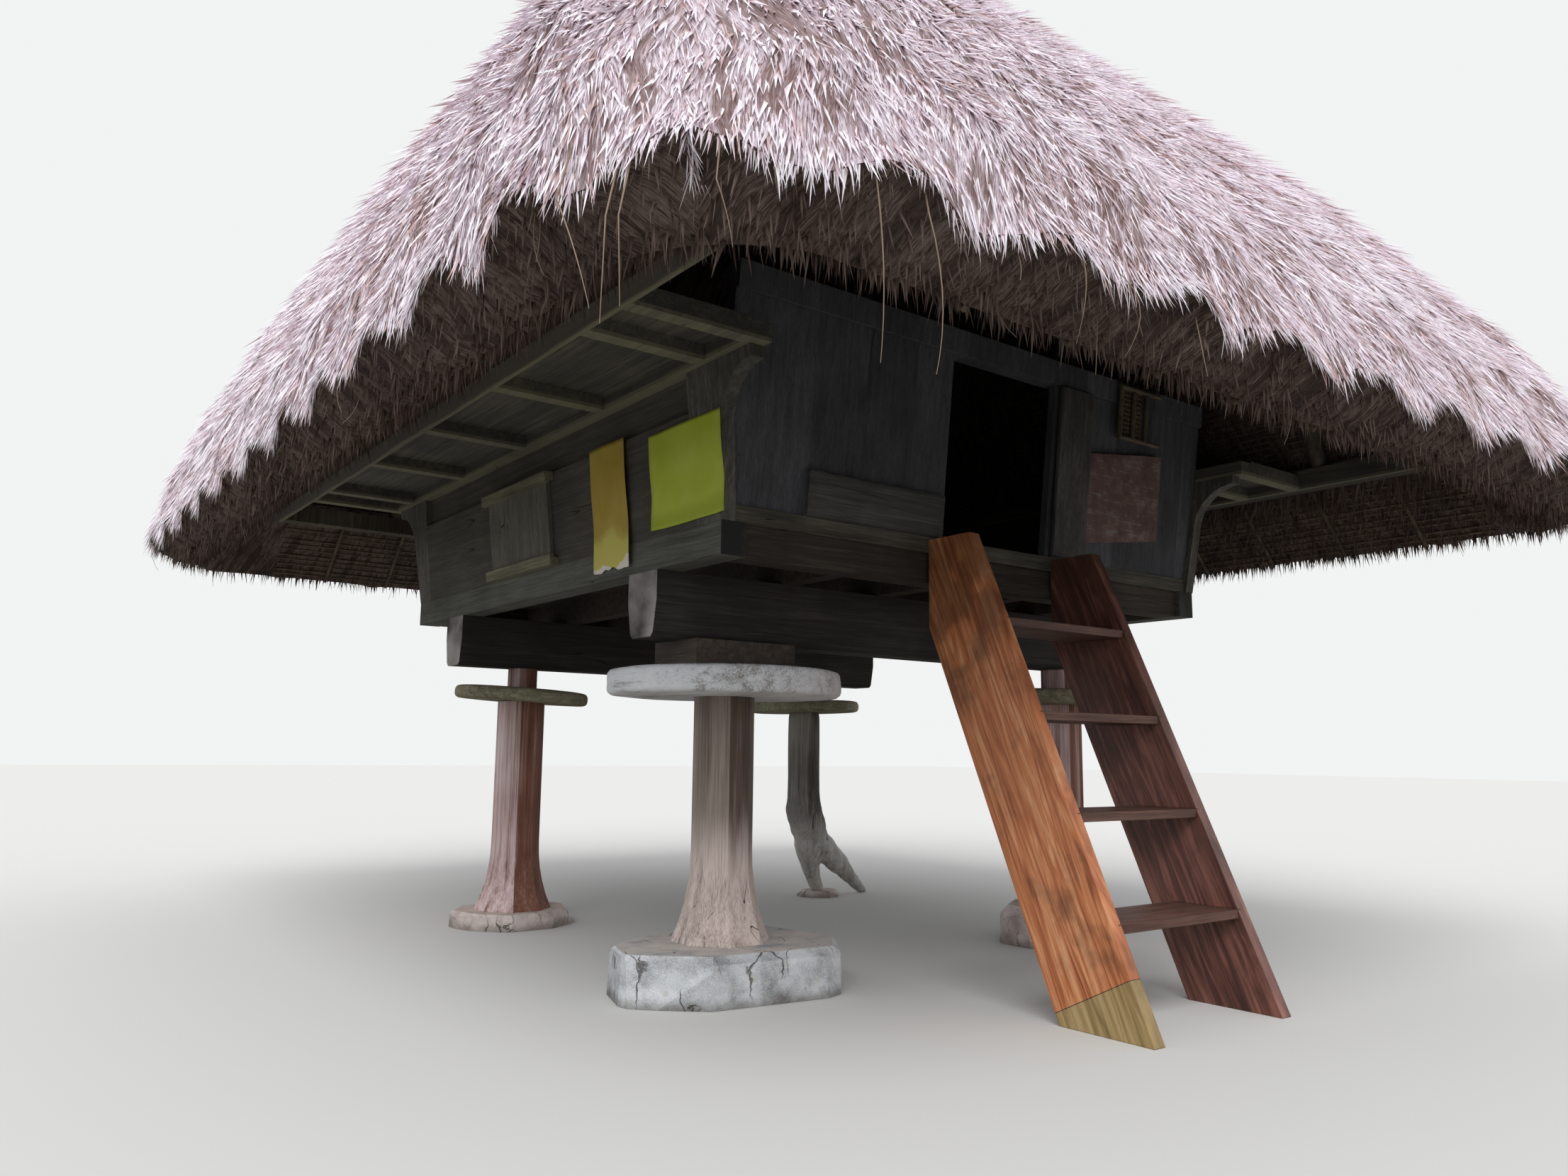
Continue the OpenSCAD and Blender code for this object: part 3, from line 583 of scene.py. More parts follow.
@dataclass(frozen=True)
class VarnishedPlank:
    """Sawn hardwood under worn varnish: warm orange figure, silky gloss, a bare olive end below a scarf."""

    name: str
    dark: str
    middle: str
    pale: str
    lean: float
    scarf_height: float = 0.0
    scarf_slope: float = 0.0

    def make(self) -> Material:
        """Build the material."""
        material, tree, body = finish_of(self.name, 0.5)
        body.inputs["Coat Weight"].default_value = 0.25
        body.inputs["Coat Roughness"].default_value = 0.3
        place = own_place(tree)
        turned = add(tree, "ShaderNodeVectorRotate", {"Vector": place, "Angle": self.lean},
                     rotation_type="X_AXIS").outputs[0]
        figure = cloud(tree, drawn_out(tree, turned, (7.0, 27.0, 1.7)), 1.0, 3.0, 0.6, 1.5)
        pores = cloud(tree, drawn_out(tree, turned, (280.0, 280.0, 9.0)), 1.0, 2.0)
        mixed = reckon(tree, "MULTIPLY_ADD", figure, 0.84, reckon(tree, "MULTIPLY", pores, 0.16))
        colour = ramp(tree, mixed, ((0.34, self.dark), (0.5, self.middle), (0.64, self.pale)))
        axes = add(tree, "ShaderNodeSeparateXYZ", {0: place}).outputs
        # Darker towards the top: dirt patches from the noise, plus painted shade from the eave above, growing
        # with height.
        dirt_and_eave_shade = reckon(tree, "MULTIPLY_ADD", fade(tree, axes[2], 0.8, 1.7), 0.16, cloud(tree, place, 6.0, 5.0))
        colour = tint(tree, fade(tree, dirt_and_eave_shade, 0.52, 0.75), 0.55, colour, "#4c3626")
        if self.scarf_height:
            level = reckon(tree, "MULTIPLY_ADD", axes[1], self.scarf_slope, axes[2])
            past = reckon(tree, "SUBTRACT", self.scarf_height, level)
            bare = ramp(tree, mixed, ((0.34, "#7d683f"), (0.5, "#a88d5c"), (0.64, "#c2a97c")))
            colour = blend(tree, reckon(tree, "MULTIPLY", past, 900.0, clamp=True), colour, bare)
            seam = reckon(tree, "SUBTRACT", 0.0022, reckon(tree, "ABSOLUTE", past))
            seam = reckon(tree, "MULTIPLY", seam, 900.0, clamp=True)
            colour = tint(tree, seam, 1.0, colour, "#3b2418")
        cover(tree, body, colour, mixed, (0.5, 0.0006), 0.004)
        return material


@dataclass(frozen=True)
class FieldStone:
    """Hewn volcanic field stone: speckled grey with pale lichen rings and dark damp feet."""

    name: str
    dark: str
    middle: str
    pale: str

    def make(self) -> Material:
        """Build the material."""
        material, tree, body = finish_of(self.name, 0.92)
        place = own_place(tree)
        broad = cloud(tree, place, 7.0, 8.0, 0.65)
        speck = cloud(tree, place, 210.0, 2.0)
        mixed = reckon(tree, "MULTIPLY_ADD", speck, 0.3, reckon(tree, "MULTIPLY", broad, 0.7))
        colour = ramp(tree, mixed, ((0.34, self.dark), (0.5, self.middle), (0.64, self.pale)))
        lichen = add(tree, "ShaderNodeTexVoronoi", {"Vector": place, "Scale": 13.0}).outputs[0]
        bare = fade(tree, about_half(tree, broad, -0.6, lichen), 0.12, 0.26)
        colour = tint(tree, reckon(tree, "SUBTRACT", 0.6, bare, clamp=True), 1.0, colour, "#c9c8c0")
        normal = add(tree, "ShaderNodeNewGeometry").outputs["True Normal"]
        shaded = ramp(tree, mixed, ((0.4, self.dark), (0.6, self.middle)))
        colour = blend(tree, fade(tree, cloud(tree, normal, 2.2, 0.0), 0.45, 0.65), colour, shaded)
        up = add(tree, "ShaderNodeSeparateXYZ", {0: normal}).outputs[2]
        earth = reckon(tree, "MULTIPLY", fade(tree, up, 0.75, 0.95), fade(tree, broad, 0.3, 0.6))
        colour = tint(tree, earth, 0.6, colour, "#cbb9a8")
        crack = self.cracks(tree, place)
        colour = tint(tree, crack, 0.8, colour, "#4b453f")
        height = add(tree, "ShaderNodeSeparateXYZ", {0: place}).outputs[2]
        dry = fade(tree, reckon(tree, "MULTIPLY_ADD", broad, 0.06, height), 0.03, 0.09)
        colour = tint(tree, reckon(tree, "SUBTRACT", 1.0, dry), 0.55, colour, "#4f4433")
        cover(tree, body, colour, reckon(tree, "MULTIPLY_ADD", crack, -0.8, mixed), (0.9, 0.009))
        return material

    def cracks(self, tree: Tree, place: Socket) -> Socket:
        """Steep, crooked cracks a hand apart.

        Args:
            tree: Tree that gets the nodes.
            place: Coordinates in metres.

        Returns:
            A socket that is 1 in a crack.
        """
        drawn = drawn_out(tree, place, (6.0, 6.0, 1.6))
        bent = add(tree, "ShaderNodeTexNoise", {"Vector": place, "Scale": 9.0, "Detail": 4.0}).outputs[1]
        moved = add(tree, "ShaderNodeVectorMath", {0: bent, 1: (0.5, 0.5, 0.5), 2: drawn},
                    operation="MULTIPLY_ADD")
        edge = add(tree, "ShaderNodeTexVoronoi", {"Vector": moved.outputs[0], "Scale": 1.0},
                   feature="DISTANCE_TO_EDGE").outputs["Distance"]
        width = reckon(tree, "MULTIPLY", fade(tree, cloud(tree, place, 5.0, 1.0), 0.42, 0.66), 0.02)
        return reckon(tree, "MULTIPLY", reckon(tree, "SUBTRACT", width, edge), 90.0, clamp=True)


@dataclass(frozen=True)
class MattedGrass:
    """Packed cogon grass below the loose blades: fibres down the slope, dark gaps of browner grass deepened
    by painted shade, browner underneath.
    """

    name: str
    dark: str
    middle: str
    pale: str
    relief: float = 0.008

    def make(self) -> Material:
        """Build the material."""
        material, tree, body = finish_of(self.name, 0.95)
        body.inputs["Specular IOR Level"].default_value = 0.2
        places = add(tree, "ShaderNodeTexCoord").outputs
        flat = places["UV"]
        fine = cloud(tree, drawn_out(tree, flat, (150.0, 17.0, 1.0)), 1.0, 3.0, 0.6, 1.2)
        patch = cloud(tree, places["Object"], 2.5, 3.0)
        mixed = reckon(tree, "MULTIPLY_ADD", fine, 0.75, reckon(tree, "MULTIPLY", patch, 0.25))
        colour = ramp(tree, mixed, ((0.4, self.dark), (0.5, self.middle), (0.6, self.pale)))
        # The gaps between the locks, where blades stand thin, are darkened: partly the browner grass below,
        # partly painted shade.
        gap = fade(tree, locks(tree, flat), 0.5, 0.4)
        cover(tree, body, tint(tree, gap, 0.7, colour, self.dark), fine, (0.9, self.relief))
        return material


@dataclass(frozen=True)
class DryBlade:
    """Dry cogon blades, about a centimetre wide: bleached lilac grey outside, red-brown where sheltered."""

    name: str
    root: str
    tawny: str
    faded: str
    bleached: str
    white: str

    def make(self) -> Material:
        """Build the material from the blades' own attributes."""
        material, tree, body = finish_of(self.name, 0.75)
        body.inputs["Specular IOR Level"].default_value = 0.25
        along = add(tree, "ShaderNodeAttribute", attribute_name="along").outputs["Fac"]
        tone = add(tree, "ShaderNodeAttribute", attribute_name="tone").outputs["Fac"]
        place = own_place(tree)
        tuft = locks(tree, add(tree, "ShaderNodeAttribute", attribute_name="flat").outputs["Vector"])
        age = about_half(tree, cloud(tree, place, 1.1, 3.0), 0.9, tone)
        age = about_half(tree, tuft, 1.2, age)
        tip = ramp(tree, age, ((0.0, self.tawny), (0.22, self.faded),
                               (0.5, self.bleached), (0.85, self.white)))
        low = ramp(tree, age, ((0.1, self.root), (0.9, self.tawny)))
        colour = blend(tree, fade(tree, along, -0.05, 0.4), low, tip)
        tree.links.new(colour, body.inputs["Base Color"])
        return material


@dataclass(frozen=True)
class SplitCane:
    """Split reed and bamboo: smooth tan skin with darker streaks, smoke-brown from the hearth."""

    name: str
    dark: str
    pale: str

    def make(self) -> Material:
        """Build the material."""
        material, tree, body = finish_of(self.name, 0.6)
        place = own_place(tree)
        figure = cloud(tree, place, 9.0, 6.0, 0.7)
        colour = ramp(tree, figure, ((0.35, self.dark), (0.65, self.pale)))
        cover(tree, body, colour, figure, (0.4, 0.001))
        return material


@dataclass(frozen=True)
class BarePaper:
    """Coloured poster paper, blank: matt, faded in patches, changed by damp and torn to white at the foot."""

    name: str
    colour: str
    faded: str
    damp: str
    foot: float
    torn: float = 0.0

    def make(self) -> Material:
        """Build the material."""
        material, tree, body = finish_of(self.name, 0.7)
        place = own_place(tree)
        patch = cloud(tree, place, 5.0, 5.0)
        mixed = reckon(tree, "MULTIPLY_ADD", cloud(tree, place, 900.0, 2.0), 0.12, patch)
        colour = ramp(tree, mixed, ((0.42, self.colour), (0.72, self.faded)))
        height = add(tree, "ShaderNodeSeparateXYZ", {0: place}).outputs[2]
        level = reckon(tree, "MULTIPLY_ADD", patch, -0.16, height)
        wet = fade(tree, level, self.foot + 0.02, self.foot - 0.06)
        colour = tint(tree, wet, 0.8, colour, self.damp)
        if self.torn:
            level = about_half(tree, patch, 0.16, height)
            colour = tint(tree, fade(tree, level, self.torn + 0.004, self.torn), 1.0, colour, "#f1ede2")
        cover(tree, body, colour, patch, (0.3, 0.002))
        return material


@dataclass(frozen=True)
class WornPaint:
    """Red-brown paint on a board, blank: chalky, rubbed through to the grey wood along the fibres."""

    name: str
    paint: str
    chalk: str
    wood: str

    def make(self) -> Material:
        """Build the material."""
        material, tree, body = finish_of(self.name, 0.75)
        place = own_place(tree)
        fibre = cloud(tree, drawn_out(tree, place, (8.0, 120.0, 120.0)), 1.0, 4.0)
        patch = cloud(tree, place, 11.0, 6.0, 0.7)
        colour = ramp(tree, patch, ((0.35, self.paint), (0.7, self.chalk)))
        worn = reckon(tree, "MULTIPLY_ADD", fibre, 0.5, reckon(tree, "MULTIPLY", patch, 0.5))
        colour = tint(tree, fade(tree, worn, 0.54, 0.6), 0.75, colour, self.wood)
        cover(tree, body, colour, fibre, (0.5, 0.0008))
        return material


# ---- camera and studio


@dataclass
class Viewpoint:
    """Camera at the photograph's place, one metre above the ground."""

    place: tuple[float, float, float] = (-3.91, -5.235, 1.0)
    heading: float = math.radians(36.823)
    pitch: float = math.radians(8.269)
    roll: float = math.radians(0.65)
    lens: float = 25.887
    film: float = 36.0
    sight: float = 200.0

    def build(self) -> None:
        """Create the camera and make it the scene's own."""
        data = bpy.data.cameras.new("viewpoint")
        data.lens = self.lens
        data.sensor_width = self.film
        data.clip_end = self.sight
        camera = bpy.data.objects.new("viewpoint", data)
        turn = (Matrix.Rotation(-self.heading, 4, "Z") @ Matrix.Rotation(math.pi / 2 + self.pitch, 4, "X")
                @ Matrix.Rotation(self.roll, 4, "Z"))
        camera.matrix_world = Matrix.Translation(self.place) @ turn
        bpy.context.scene.collection.objects.link(camera)
        bpy.context.scene.camera = camera


@dataclass
class Studio:
    """Pale floor, a plain sky and one broad lamp, high on the left in front."""

    floor_half: float = 60.0
    floor_level: float = -0.001
    pale: str = "#dddcd9"
    bounce: str = "#9b9892"
    sky_light: str = "#f6f8fb"
    sky_seen: str = "#f2f3f3"
    sky_strength: float = 0.82
    lamp_strength: float = 1.9
    lamp_spread: float = math.radians(40)
    lamp_turn: Place = (math.radians(40), math.radians(-25), math.radians(-15))

    def build(self) -> None:
        """Create the floor, the sky and the lamp."""
        bpy.context.scene.view_settings.view_transform = "Standard"
        self.floor()
        self.sky()
        data = bpy.data.lights.new("broad_lamp", "SUN")
        data.energy = self.lamp_strength
        data.angle = self.lamp_spread
        lamp = bpy.data.objects.new("broad_lamp", data)
        lamp.rotation_euler = self.lamp_turn
        bpy.context.scene.collection.objects.link(lamp)

    def floor(self) -> None:
        """Lay a floor that is pale to the eye but throws back the light of bare earth."""
        material, tree, body = finish_of("studio_floor", 1.0)
        body.inputs["Specular IOR Level"].default_value = 0.0
        ray = add(tree, "ShaderNodeLightPath").outputs["Is Camera Ray"]
        shown = blend(tree, ray, linear(self.bounce), linear(self.pale))
        tree.links.new(shown, body.inputs["Base Color"])
        h, z = self.floor_half, self.floor_level
        corners = [(-h, -h, z), (h, -h, z), (h, h, z), (-h, h, z)]
        new_piece("studio_floor", corners, [(0, 1, 2, 3)], material)

    def sky(self) -> None:
        """Light the scene from all round and show a pale ground behind it."""
        world = bpy.data.worlds.new("studio_sky")
        bpy.context.scene.world = world
        world.use_nodes = True
        tree = world.node_tree
        tree.nodes.clear()
        path = add(tree, "ShaderNodeLightPath")
        seen = reckon(tree, "MAXIMUM", path.outputs["Is Camera Ray"], path.outputs["Is Glossy Ray"])
        light = add(tree, "ShaderNodeBackground", {0: linear(self.sky_light), 1: self.sky_strength})
        shown = add(tree, "ShaderNodeBackground", {0: linear(self.sky_seen), 1: 1.0})
        mix = add(tree, "ShaderNodeMixShader", {0: seen, 1: light.outputs[0], 2: shown.outputs[0]})
        add(tree, "ShaderNodeOutputWorld", {0: mix.outputs[0]})


# ---- thatch


@dataclass(frozen=True)
class RoofForm:
    """Form of the roof as the solids have it: rounded rectangles on a bulged curve, in bunches."""

    half_x: float = 3.0
    half_y: float = 3.55
    eave: float = 2.22
    top: float = 6.23
    corner: float = 0.76
    ridge_half: float = 0.76
    peak: float = 0.1
    bulge: float = 1.34
    cover: float = 0.93
    ring_x: float = 2.2
    ring_y: float = 2.75
    bed_low: float = 2.713
    bed_top_y: float = 0.005
    bed_corner: float = 0.004
    rise: float = 2.83
    run_x: float = 1.44
    lip: float = 0.3
    lip_drop: float = 0.09
    bunch: float = 0.56
    level_count: int = 9
    arc_steps: int = 8
    straight_steps: int = 62

    def outside(self, share: float) -> Ring:
        """Half sizes, corner radius and height of the outside at a share of the height."""
        bent = max(share, 0.0) ** self.bulge
        return (self.half_x + (self.ridge_half - self.half_x) * bent,
                self.half_y + (self.peak - self.half_y) * bent,
                self.corner + (self.peak - self.corner) * bent,
                self.eave + (self.top - self.eave) * share)

    def inner_lip(self) -> Ring:
        """Half sizes, corner radius and height of the inner edge of the face under the rim."""
        return (self.half_x - self.lip, self.half_y - self.lip, self.corner - self.lip,
                self.eave - self.lip_drop)

    def bed(self, share: float) -> Ring:
        """Half sizes, corner radius and height of the bed at a share of the rafters' length."""
        return (self.ring_x - self.run_x * share, self.ring_y * (1 - share) + self.bed_top_y * share,
                self.bed_corner, self.bed_low + self.rise * share)

    def between(self, side: Side) -> np.ndarray:
        """How far each point of a row lies in the hollow between two bunches, from -1 to 1."""
        width = 2 * ((self.half_x if side.value % 2 == 0 else self.half_y) - self.corner)
        arc = np.linspace(0, 1, self.arc_steps + 1)
        straight = np.linspace(0, round(width / self.bunch), self.straight_steps + 1)[1:-1]
        return np.cos(2 * math.pi * np.concatenate([arc, straight, arc]))

    def row(self, side: Side, size: Ring, inset: float = 0.0) -> tuple[np.ndarray, np.ndarray]:
        """Points and outward directions along one side of a rounded rectangle.

        Args:
            side: Slope that the row belongs to.
            size: Half sizes, corner radius and height.
            inset: Distance inside the rectangle.

        Returns:
            Arrays of points and of level outward directions, from the left as seen from outside.
        """
        hx, hy, r, z = size
        hx, hy, r = hx - inset, hy - inset, max(r - inset, 0.002)
        corners = ((-1, -1), (1, -1), (1, 1), (-1, 1))
        first, second = corners[side.value], corners[(side.value + 1) % 4]
        start = math.radians(225 + 90 * side.value)
        points, outs = [], []
        for (sx, sy), begin in ((first, start), (second, start + math.pi / 4)):
            for i in range(self.arc_steps + 1):
                a = begin + math.pi / 4 * i / self.arc_steps
                points.append((sx * (hx - r) + r * math.cos(a), sy * (hy - r) + r * math.sin(a), z))
                outs.append((math.cos(a), math.sin(a), 0.0))
        n = self.arc_steps + 1
        left, right = np.array(points[:n]), np.array(points[n:])
        share = np.linspace(0, 1, self.straight_steps + 1)[1:-1, None]
        middle = left[-1] + (right[0] - left[-1]) * share
        level = np.repeat([outs[n - 1]], len(middle), axis=0)
        return np.vstack([left, middle, right]), np.vstack([outs[:n], level, outs[n:]])


@dataclass
class BladeSpread:
    """Geometry Nodes tree that plants closed, pointed grass blades on a mesh, gathered in locks."""

    tree: NodeGroup = field(init=False)

    def __post_init__(self) -> None:
        """Build the tree, with one branch for the outside and one for the dark fringe below."""
        tree, given = tree_with("grass_blades", {
            "Blades per square metre": "Float", "Blade length": "Float", "Blade width": "Float",
            "Lift": "Float", "Spread": "Float", "Fringe strands per square metre": "Float",
            "Fringe length": "Float", "Seed": "Int", "Blade finish": "Material", "Fringe finish": "Material"})
        self.tree = tree
        sockets = given.outputs
        outer = self.branch(tree, sockets, "grass", sockets["Blades per square metre"],
                            sockets["Blade length"], sockets["Blade finish"], 0, True)
        under = self.branch(tree, sockets, "fringe", sockets["Fringe strands per square metre"],
                            sockets["Fringe length"], sockets["Fringe finish"], FRINGE_SEED, False)
        both = add(tree, "GeometryNodeJoinGeometry")
        for part in (sockets["Geometry"], outer, under):
            tree.links.new(part, both.inputs[0])
        add(tree, "NodeGroupOutput", {0: both.outputs[0]})

    def branch(self, tree: Tree, given: Sockets, mask: str, density: Socket, length: Socket,
               finish: Socket, seed: int, hugging: bool) -> Socket:
        """Plant blades where a mask attribute asks for them.

        Args:
            tree: Tree that gets the nodes.
            given: Outputs of the group input.
            mask: Name of the attribute with the share of blades.
            density: Blades per square metre.
            length: Mean length of a blade.
            finish: Material of the blades.
            seed: Number that sets this branch's random choices apart.
            hugging: Whether the blades lie along the surface instead of hanging free.

        Returns:
            The blades' geometry socket.
        """
        number = reckon(tree, "ADD", given["Seed"], float(seed))
        gathered = fade(tree, locks(tree, stored(tree, "flat", "FLOAT_VECTOR")), 0.38, 0.5)
        gathered = reckon(tree, "MULTIPLY_ADD", gathered, 0.75, 0.25)
        dense = reckon(tree, "MULTIPLY", reckon(tree, "MULTIPLY", stored(tree, mask), density), gathered)
        spots = add(tree, "GeometryNodeDistributePointsOnFaces",
                    {"Mesh": given["Geometry"], "Density": dense, "Seed": number}, distribute_method="RANDOM")
        normal = spots.outputs["Normal"]
        way = self.direction(tree, given, normal, seed, hugging)
        turn = add(tree, "FunctionNodeAxesToRotation", {"Primary Axis": way, "Secondary Axis": normal},
                   primary_axis="Z", secondary_axis="Y").outputs[0]
        twist = chance(tree, (0, 0, -TWIST), (0, 0, TWIST), seed + 7)
        turn = add(tree, "FunctionNodeRotateRotation", {0: turn, 1: twist}, rotation_space="LOCAL").outputs[0]
        sunk = add(tree, "GeometryNodeSetPosition",
                   {"Geometry": spots.outputs["Points"], "Offset": joined(tree, "SCALE", normal, -0.005)})
        planted = add(tree, "GeometryNodeInstanceOnPoints",
                      {"Points": sunk.outputs[0], "Instance": self.blade(tree), "Rotation": turn,
                       "Scale": self.size(tree, given["Blade width"], length, seed)}).outputs[0]
        toned = add(tree, "GeometryNodeStoreNamedAttribute",
                    {"Geometry": planted, "Name": "tone", "Value": chance(tree, 0.0, 1.0, seed + 11)},
                    data_type="FLOAT", domain="INSTANCE")
        real = add(tree, "GeometryNodeRealizeInstances", {0: toned.outputs[0]}).outputs[0]
        return add(tree, "GeometryNodeSetMaterial", {"Geometry": real, "Material": finish}).outputs[0]

    def blade(self, tree: Tree) -> Socket:
        """One closed pointed blade of four faces, a metre long, with its length stored as a share."""
        cone = add(tree, "GeometryNodeMeshCone",
                   {"Vertices": 3, "Radius Top": 0.0, "Radius Bottom": 0.5, "Depth": 1.0}).outputs[0]
        place = add(tree, "GeometryNodeInputPosition").outputs[0]
        height = add(tree, "ShaderNodeSeparateXYZ", {0: place}).outputs[2]
        return add(tree, "GeometryNodeStoreNamedAttribute",
                   {"Geometry": cone, "Name": "along", "Value": height},
                   data_type="FLOAT", domain="POINT").outputs[0]

    def size(self, tree: Tree, width: Socket, length: Socket, seed: int) -> Socket:
        """Random size of a blade.

        Args:
            tree: Tree that gets the nodes.
            width: Mean width.
            length: Mean length.
            seed: Number that sets this branch's random choices apart.

        Returns:
            A vector socket with the width, thickness and length.
        """
        growth = stored(tree, "growth")
        wide = reckon(tree, "MULTIPLY", chance(tree, 0.6, 1.4, seed + 1), width)
        tall = reckon(tree, "MULTIPLY", chance(tree, 0.55, 1.35, seed + 2), length)
        across = reckon(tree, "MULTIPLY", wide, growth)
        thick = reckon(tree, "MULTIPLY", across, 0.4)
        along = reckon(tree, "MULTIPLY", tall, growth)
        return add(tree, "ShaderNodeCombineXYZ", {0: across, 1: thick, 2: along}).outputs[0]

    def direction(self, tree: Tree, given: Sockets, normal: Socket, seed: int, hugging: bool) -> Socket:
        """Direction of a blade: down the slope, a little lifted, turned by a broad and a narrow swirl.

        Args:
            tree: Tree that gets the nodes.
            given: Outputs of the group input.
            normal: Surface normal at the blade.
            seed: Number that sets this branch's random choices apart.
            hugging: Whether the blades lie along the surface instead of hanging free.

        Returns:
            A vector socket.
        """
        place = add(tree, "GeometryNodeInputPosition").outputs[0]
        total = stored(tree, "fall", "FLOAT_VECTOR")
        for scale, weight in SWIRLS:
            swirl = add(tree, "ShaderNodeTexNoise", {"Vector": place, "Scale": scale, "Detail": 0.0})
            centred = joined(tree, "SUBTRACT", swirl.outputs[1], (0.5, 0.5, 0.5))
            total = joined(tree, "ADD", total, joined(tree, "SCALE", centred, weight))
        if hugging:
            outward = joined(tree, "DOT_PRODUCT", total, normal)
            total = joined(tree, "SUBTRACT", total, joined(tree, "SCALE", normal, outward))
            total = joined(tree, "NORMALIZE", total)
        stray = chance(tree, (-1, -1, -1), (1, 1, 1), seed + 5)
        for vector, weight in ((stray, given["Spread"]), (normal, given["Lift"])):
            total = joined(tree, "ADD", total, joined(tree, "SCALE", vector, weight))
        return joined(tree, "NORMALIZE", total)


def trim(piece: MeshObject, node: str) -> None:
    """Trim the blades that reach past a solid's sides and top, as with a thatcher's knife.

    Args:
        piece: The grass.
        node: Solid whose box is kept.
    """
    low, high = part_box(node)
    places = np.zeros(len(piece.data.vertices) * 3, dtype=np.float32)
    piece.data.vertices.foreach_get("co", places)
    places = places.reshape(-1, 3)
    places[:, :2] = np.clip(places[:, :2], low[:2], high[:2])
    places[:, 2] = np.minimum(places[:, 2], high.z)
    piece.data.vertices.foreach_set("co", places.ravel())
    piece.data.update()


@dataclass
class Thatch:
    """Hipped roof of grass: a lumpy closed shell for each slope, planted with blades."""

    shell_finish: Material
    under_finish: Material
    blade_finish: Material
    fringe_finish: Material
    form: RoofForm = field(default_factory=RoofForm)
    inset: float = 0.004
    eave_inset: float = 0.045
    tuck_share: float = 0.1
    roughness: float = 0.025
    rim_lift: float = 0.045
    rim_notch: float = 0.085
    rim_roughness: float = 0.06
    hollow: float = 0.065
    lip_lift: float = 0.03
    lip_bend: float = 0.6
    levels: int = 62
    closeness: float = 1.25
    curve_steps: int = 150
    bed_steps: int = 10
    lip_steps: int = 7
    rim_rows: int = 4
    rim_share: float = 2.6
    rim_growth: float = 0.75
    inner_growth: float = 1.9
    spread: BladeSpread = field(default_factory=BladeSpread)

    @property
    def rim(self) -> int:
        """Number of the row that is the rim, counted from the bed's top."""
        return self.bed_steps + self.lip_steps

    def build(self) -> None:
        """Make the four slopes."""
        for side in Side:
            piece = self.slope(side)
            run_tree(piece, self.spread.tree, {
                "Blades per square metre": 3060.0, "Blade length": 0.115, "Blade width": 0.0135,
                "Lift": 0.13, "Spread": 0.23,
                "Fringe strands per square metre": 1700.0, "Fringe length": 0.08, "Seed": 3 + side.value,
                "Blade finish": self.blade_finish, "Fringe finish": self.fringe_finish})
            trim(piece, "thatch_" + side.name.lower())
            settle(piece, "thatch", "thatch_" + side.name.lower())

    def slope(self, side: Side) -> MeshObject:
        """Make one slope's closed shell with what the blades need on its points.

        Args:
            side: Slope to make.

        Returns:
            The shell.
        """
        rows, masks = self.shell_rows(side)
        count, wide = len(rows), len(rows[0])
        grid = np.array(rows)
        faces = []
        for j in range(count):
            for i in range(wide - 1):
                a, b = j * wide + i, ((j + 1) % count) * wide + i
                faces.append((a, a + 1, b + 1, b))
        faces.append([j * wide for j in range(count)][::-1])
        faces.append([j * wide + wide - 1 for j in range(count)])
        piece = new_piece("grass_" + side.name.lower(), grid.reshape(-1, 3), faces, self.shell_finish,
                          self.under_finish)
        mesh = piece.data
        for number, polygon in enumerate(mesh.polygons):
            polygon.material_index = 1 if number // (wide - 1) < self.rim else 0
        fall = np.zeros_like(grid)
        above = self.rim + 1
        fall[above:-1] = grid[self.rim:-2] - grid[above + 1:]
        fall[:above] = (0, 0, -1)
        fall[-1] = fall[-2]
        fall /= np.maximum(np.linalg.norm(fall, axis=2, keepdims=True), 1e-9)
        mesh.attributes.new("flat", "FLOAT_VECTOR", "POINT")
        shares = np.repeat(np.array(masks), wide, axis=0)
        flat = fall.reshape(-1, 3).astype(np.float32)
        mesh.attributes.new("fall", "FLOAT_VECTOR", "POINT").data.foreach_set("vector", flat.ravel())
        for name, column in (("grass", 0), ("fringe", 1), ("growth", 2)):
            part = shares[:, column].astype(np.float32)
            mesh.attributes.new(name, "FLOAT", "POINT").data.foreach_set("value", part)
        self.unwrap(mesh, grid, side)
        face_outwards(mesh)
        return piece

    def shell_rows(self, side: Side) -> tuple[list[np.ndarray], list[Place]]:
        """Rows of one slope's shell, down the bed, out under the eave and up the outside.

        Args:
            side: Slope to make.

        Returns:
            The rows of points, and each row's share of blades, share of dark strands and growth.
        """
        rows, masks = [], []
        outer = self.outer_rows(side)
        for k in range(self.bed_steps, -1, -1):
            rows.append(self.form.row(side, self.form.bed(k / self.bed_steps))[0])
            masks.append((0.0, 0.0, 1.0))
        for k in range(1, self.lip_steps):
            rows.append(self.lip_row(side, k / self.lip_steps, outer[0]))
            growth = self.inner_growth if k == 1 else 1.1 - 0.3 * k / self.lip_steps
            masks.append((0.0, self.strands(side, k), growth))
        for j, row in enumerate(outer):
            rows.append(row)
            size = 0.85 + 1.15 * (j / self.levels) ** self.closeness
            share = self.rim_share if j < self.rim_rows else size ** -2
            growth = self.rim_growth if j < 2 else size
            masks.append((share if j else 0.0, 0.0 if j else 1.0, growth))
        return rows, masks

    def strands(self, side: Side, number: int) -> float:
        """Share of dark strands on a row of the underside: the back slope leaves its reeds bare.

        Args:
            side: Slope.
            number: Number of the row, from 1 beside the bed to 6 beside the rim.

        Returns:
            The share.
        """
        if side is Side.BACK and number < 5:
            return 0.0
        return 1.8 if number == 1 else 0.9 - 0.3 * math.cos(number)

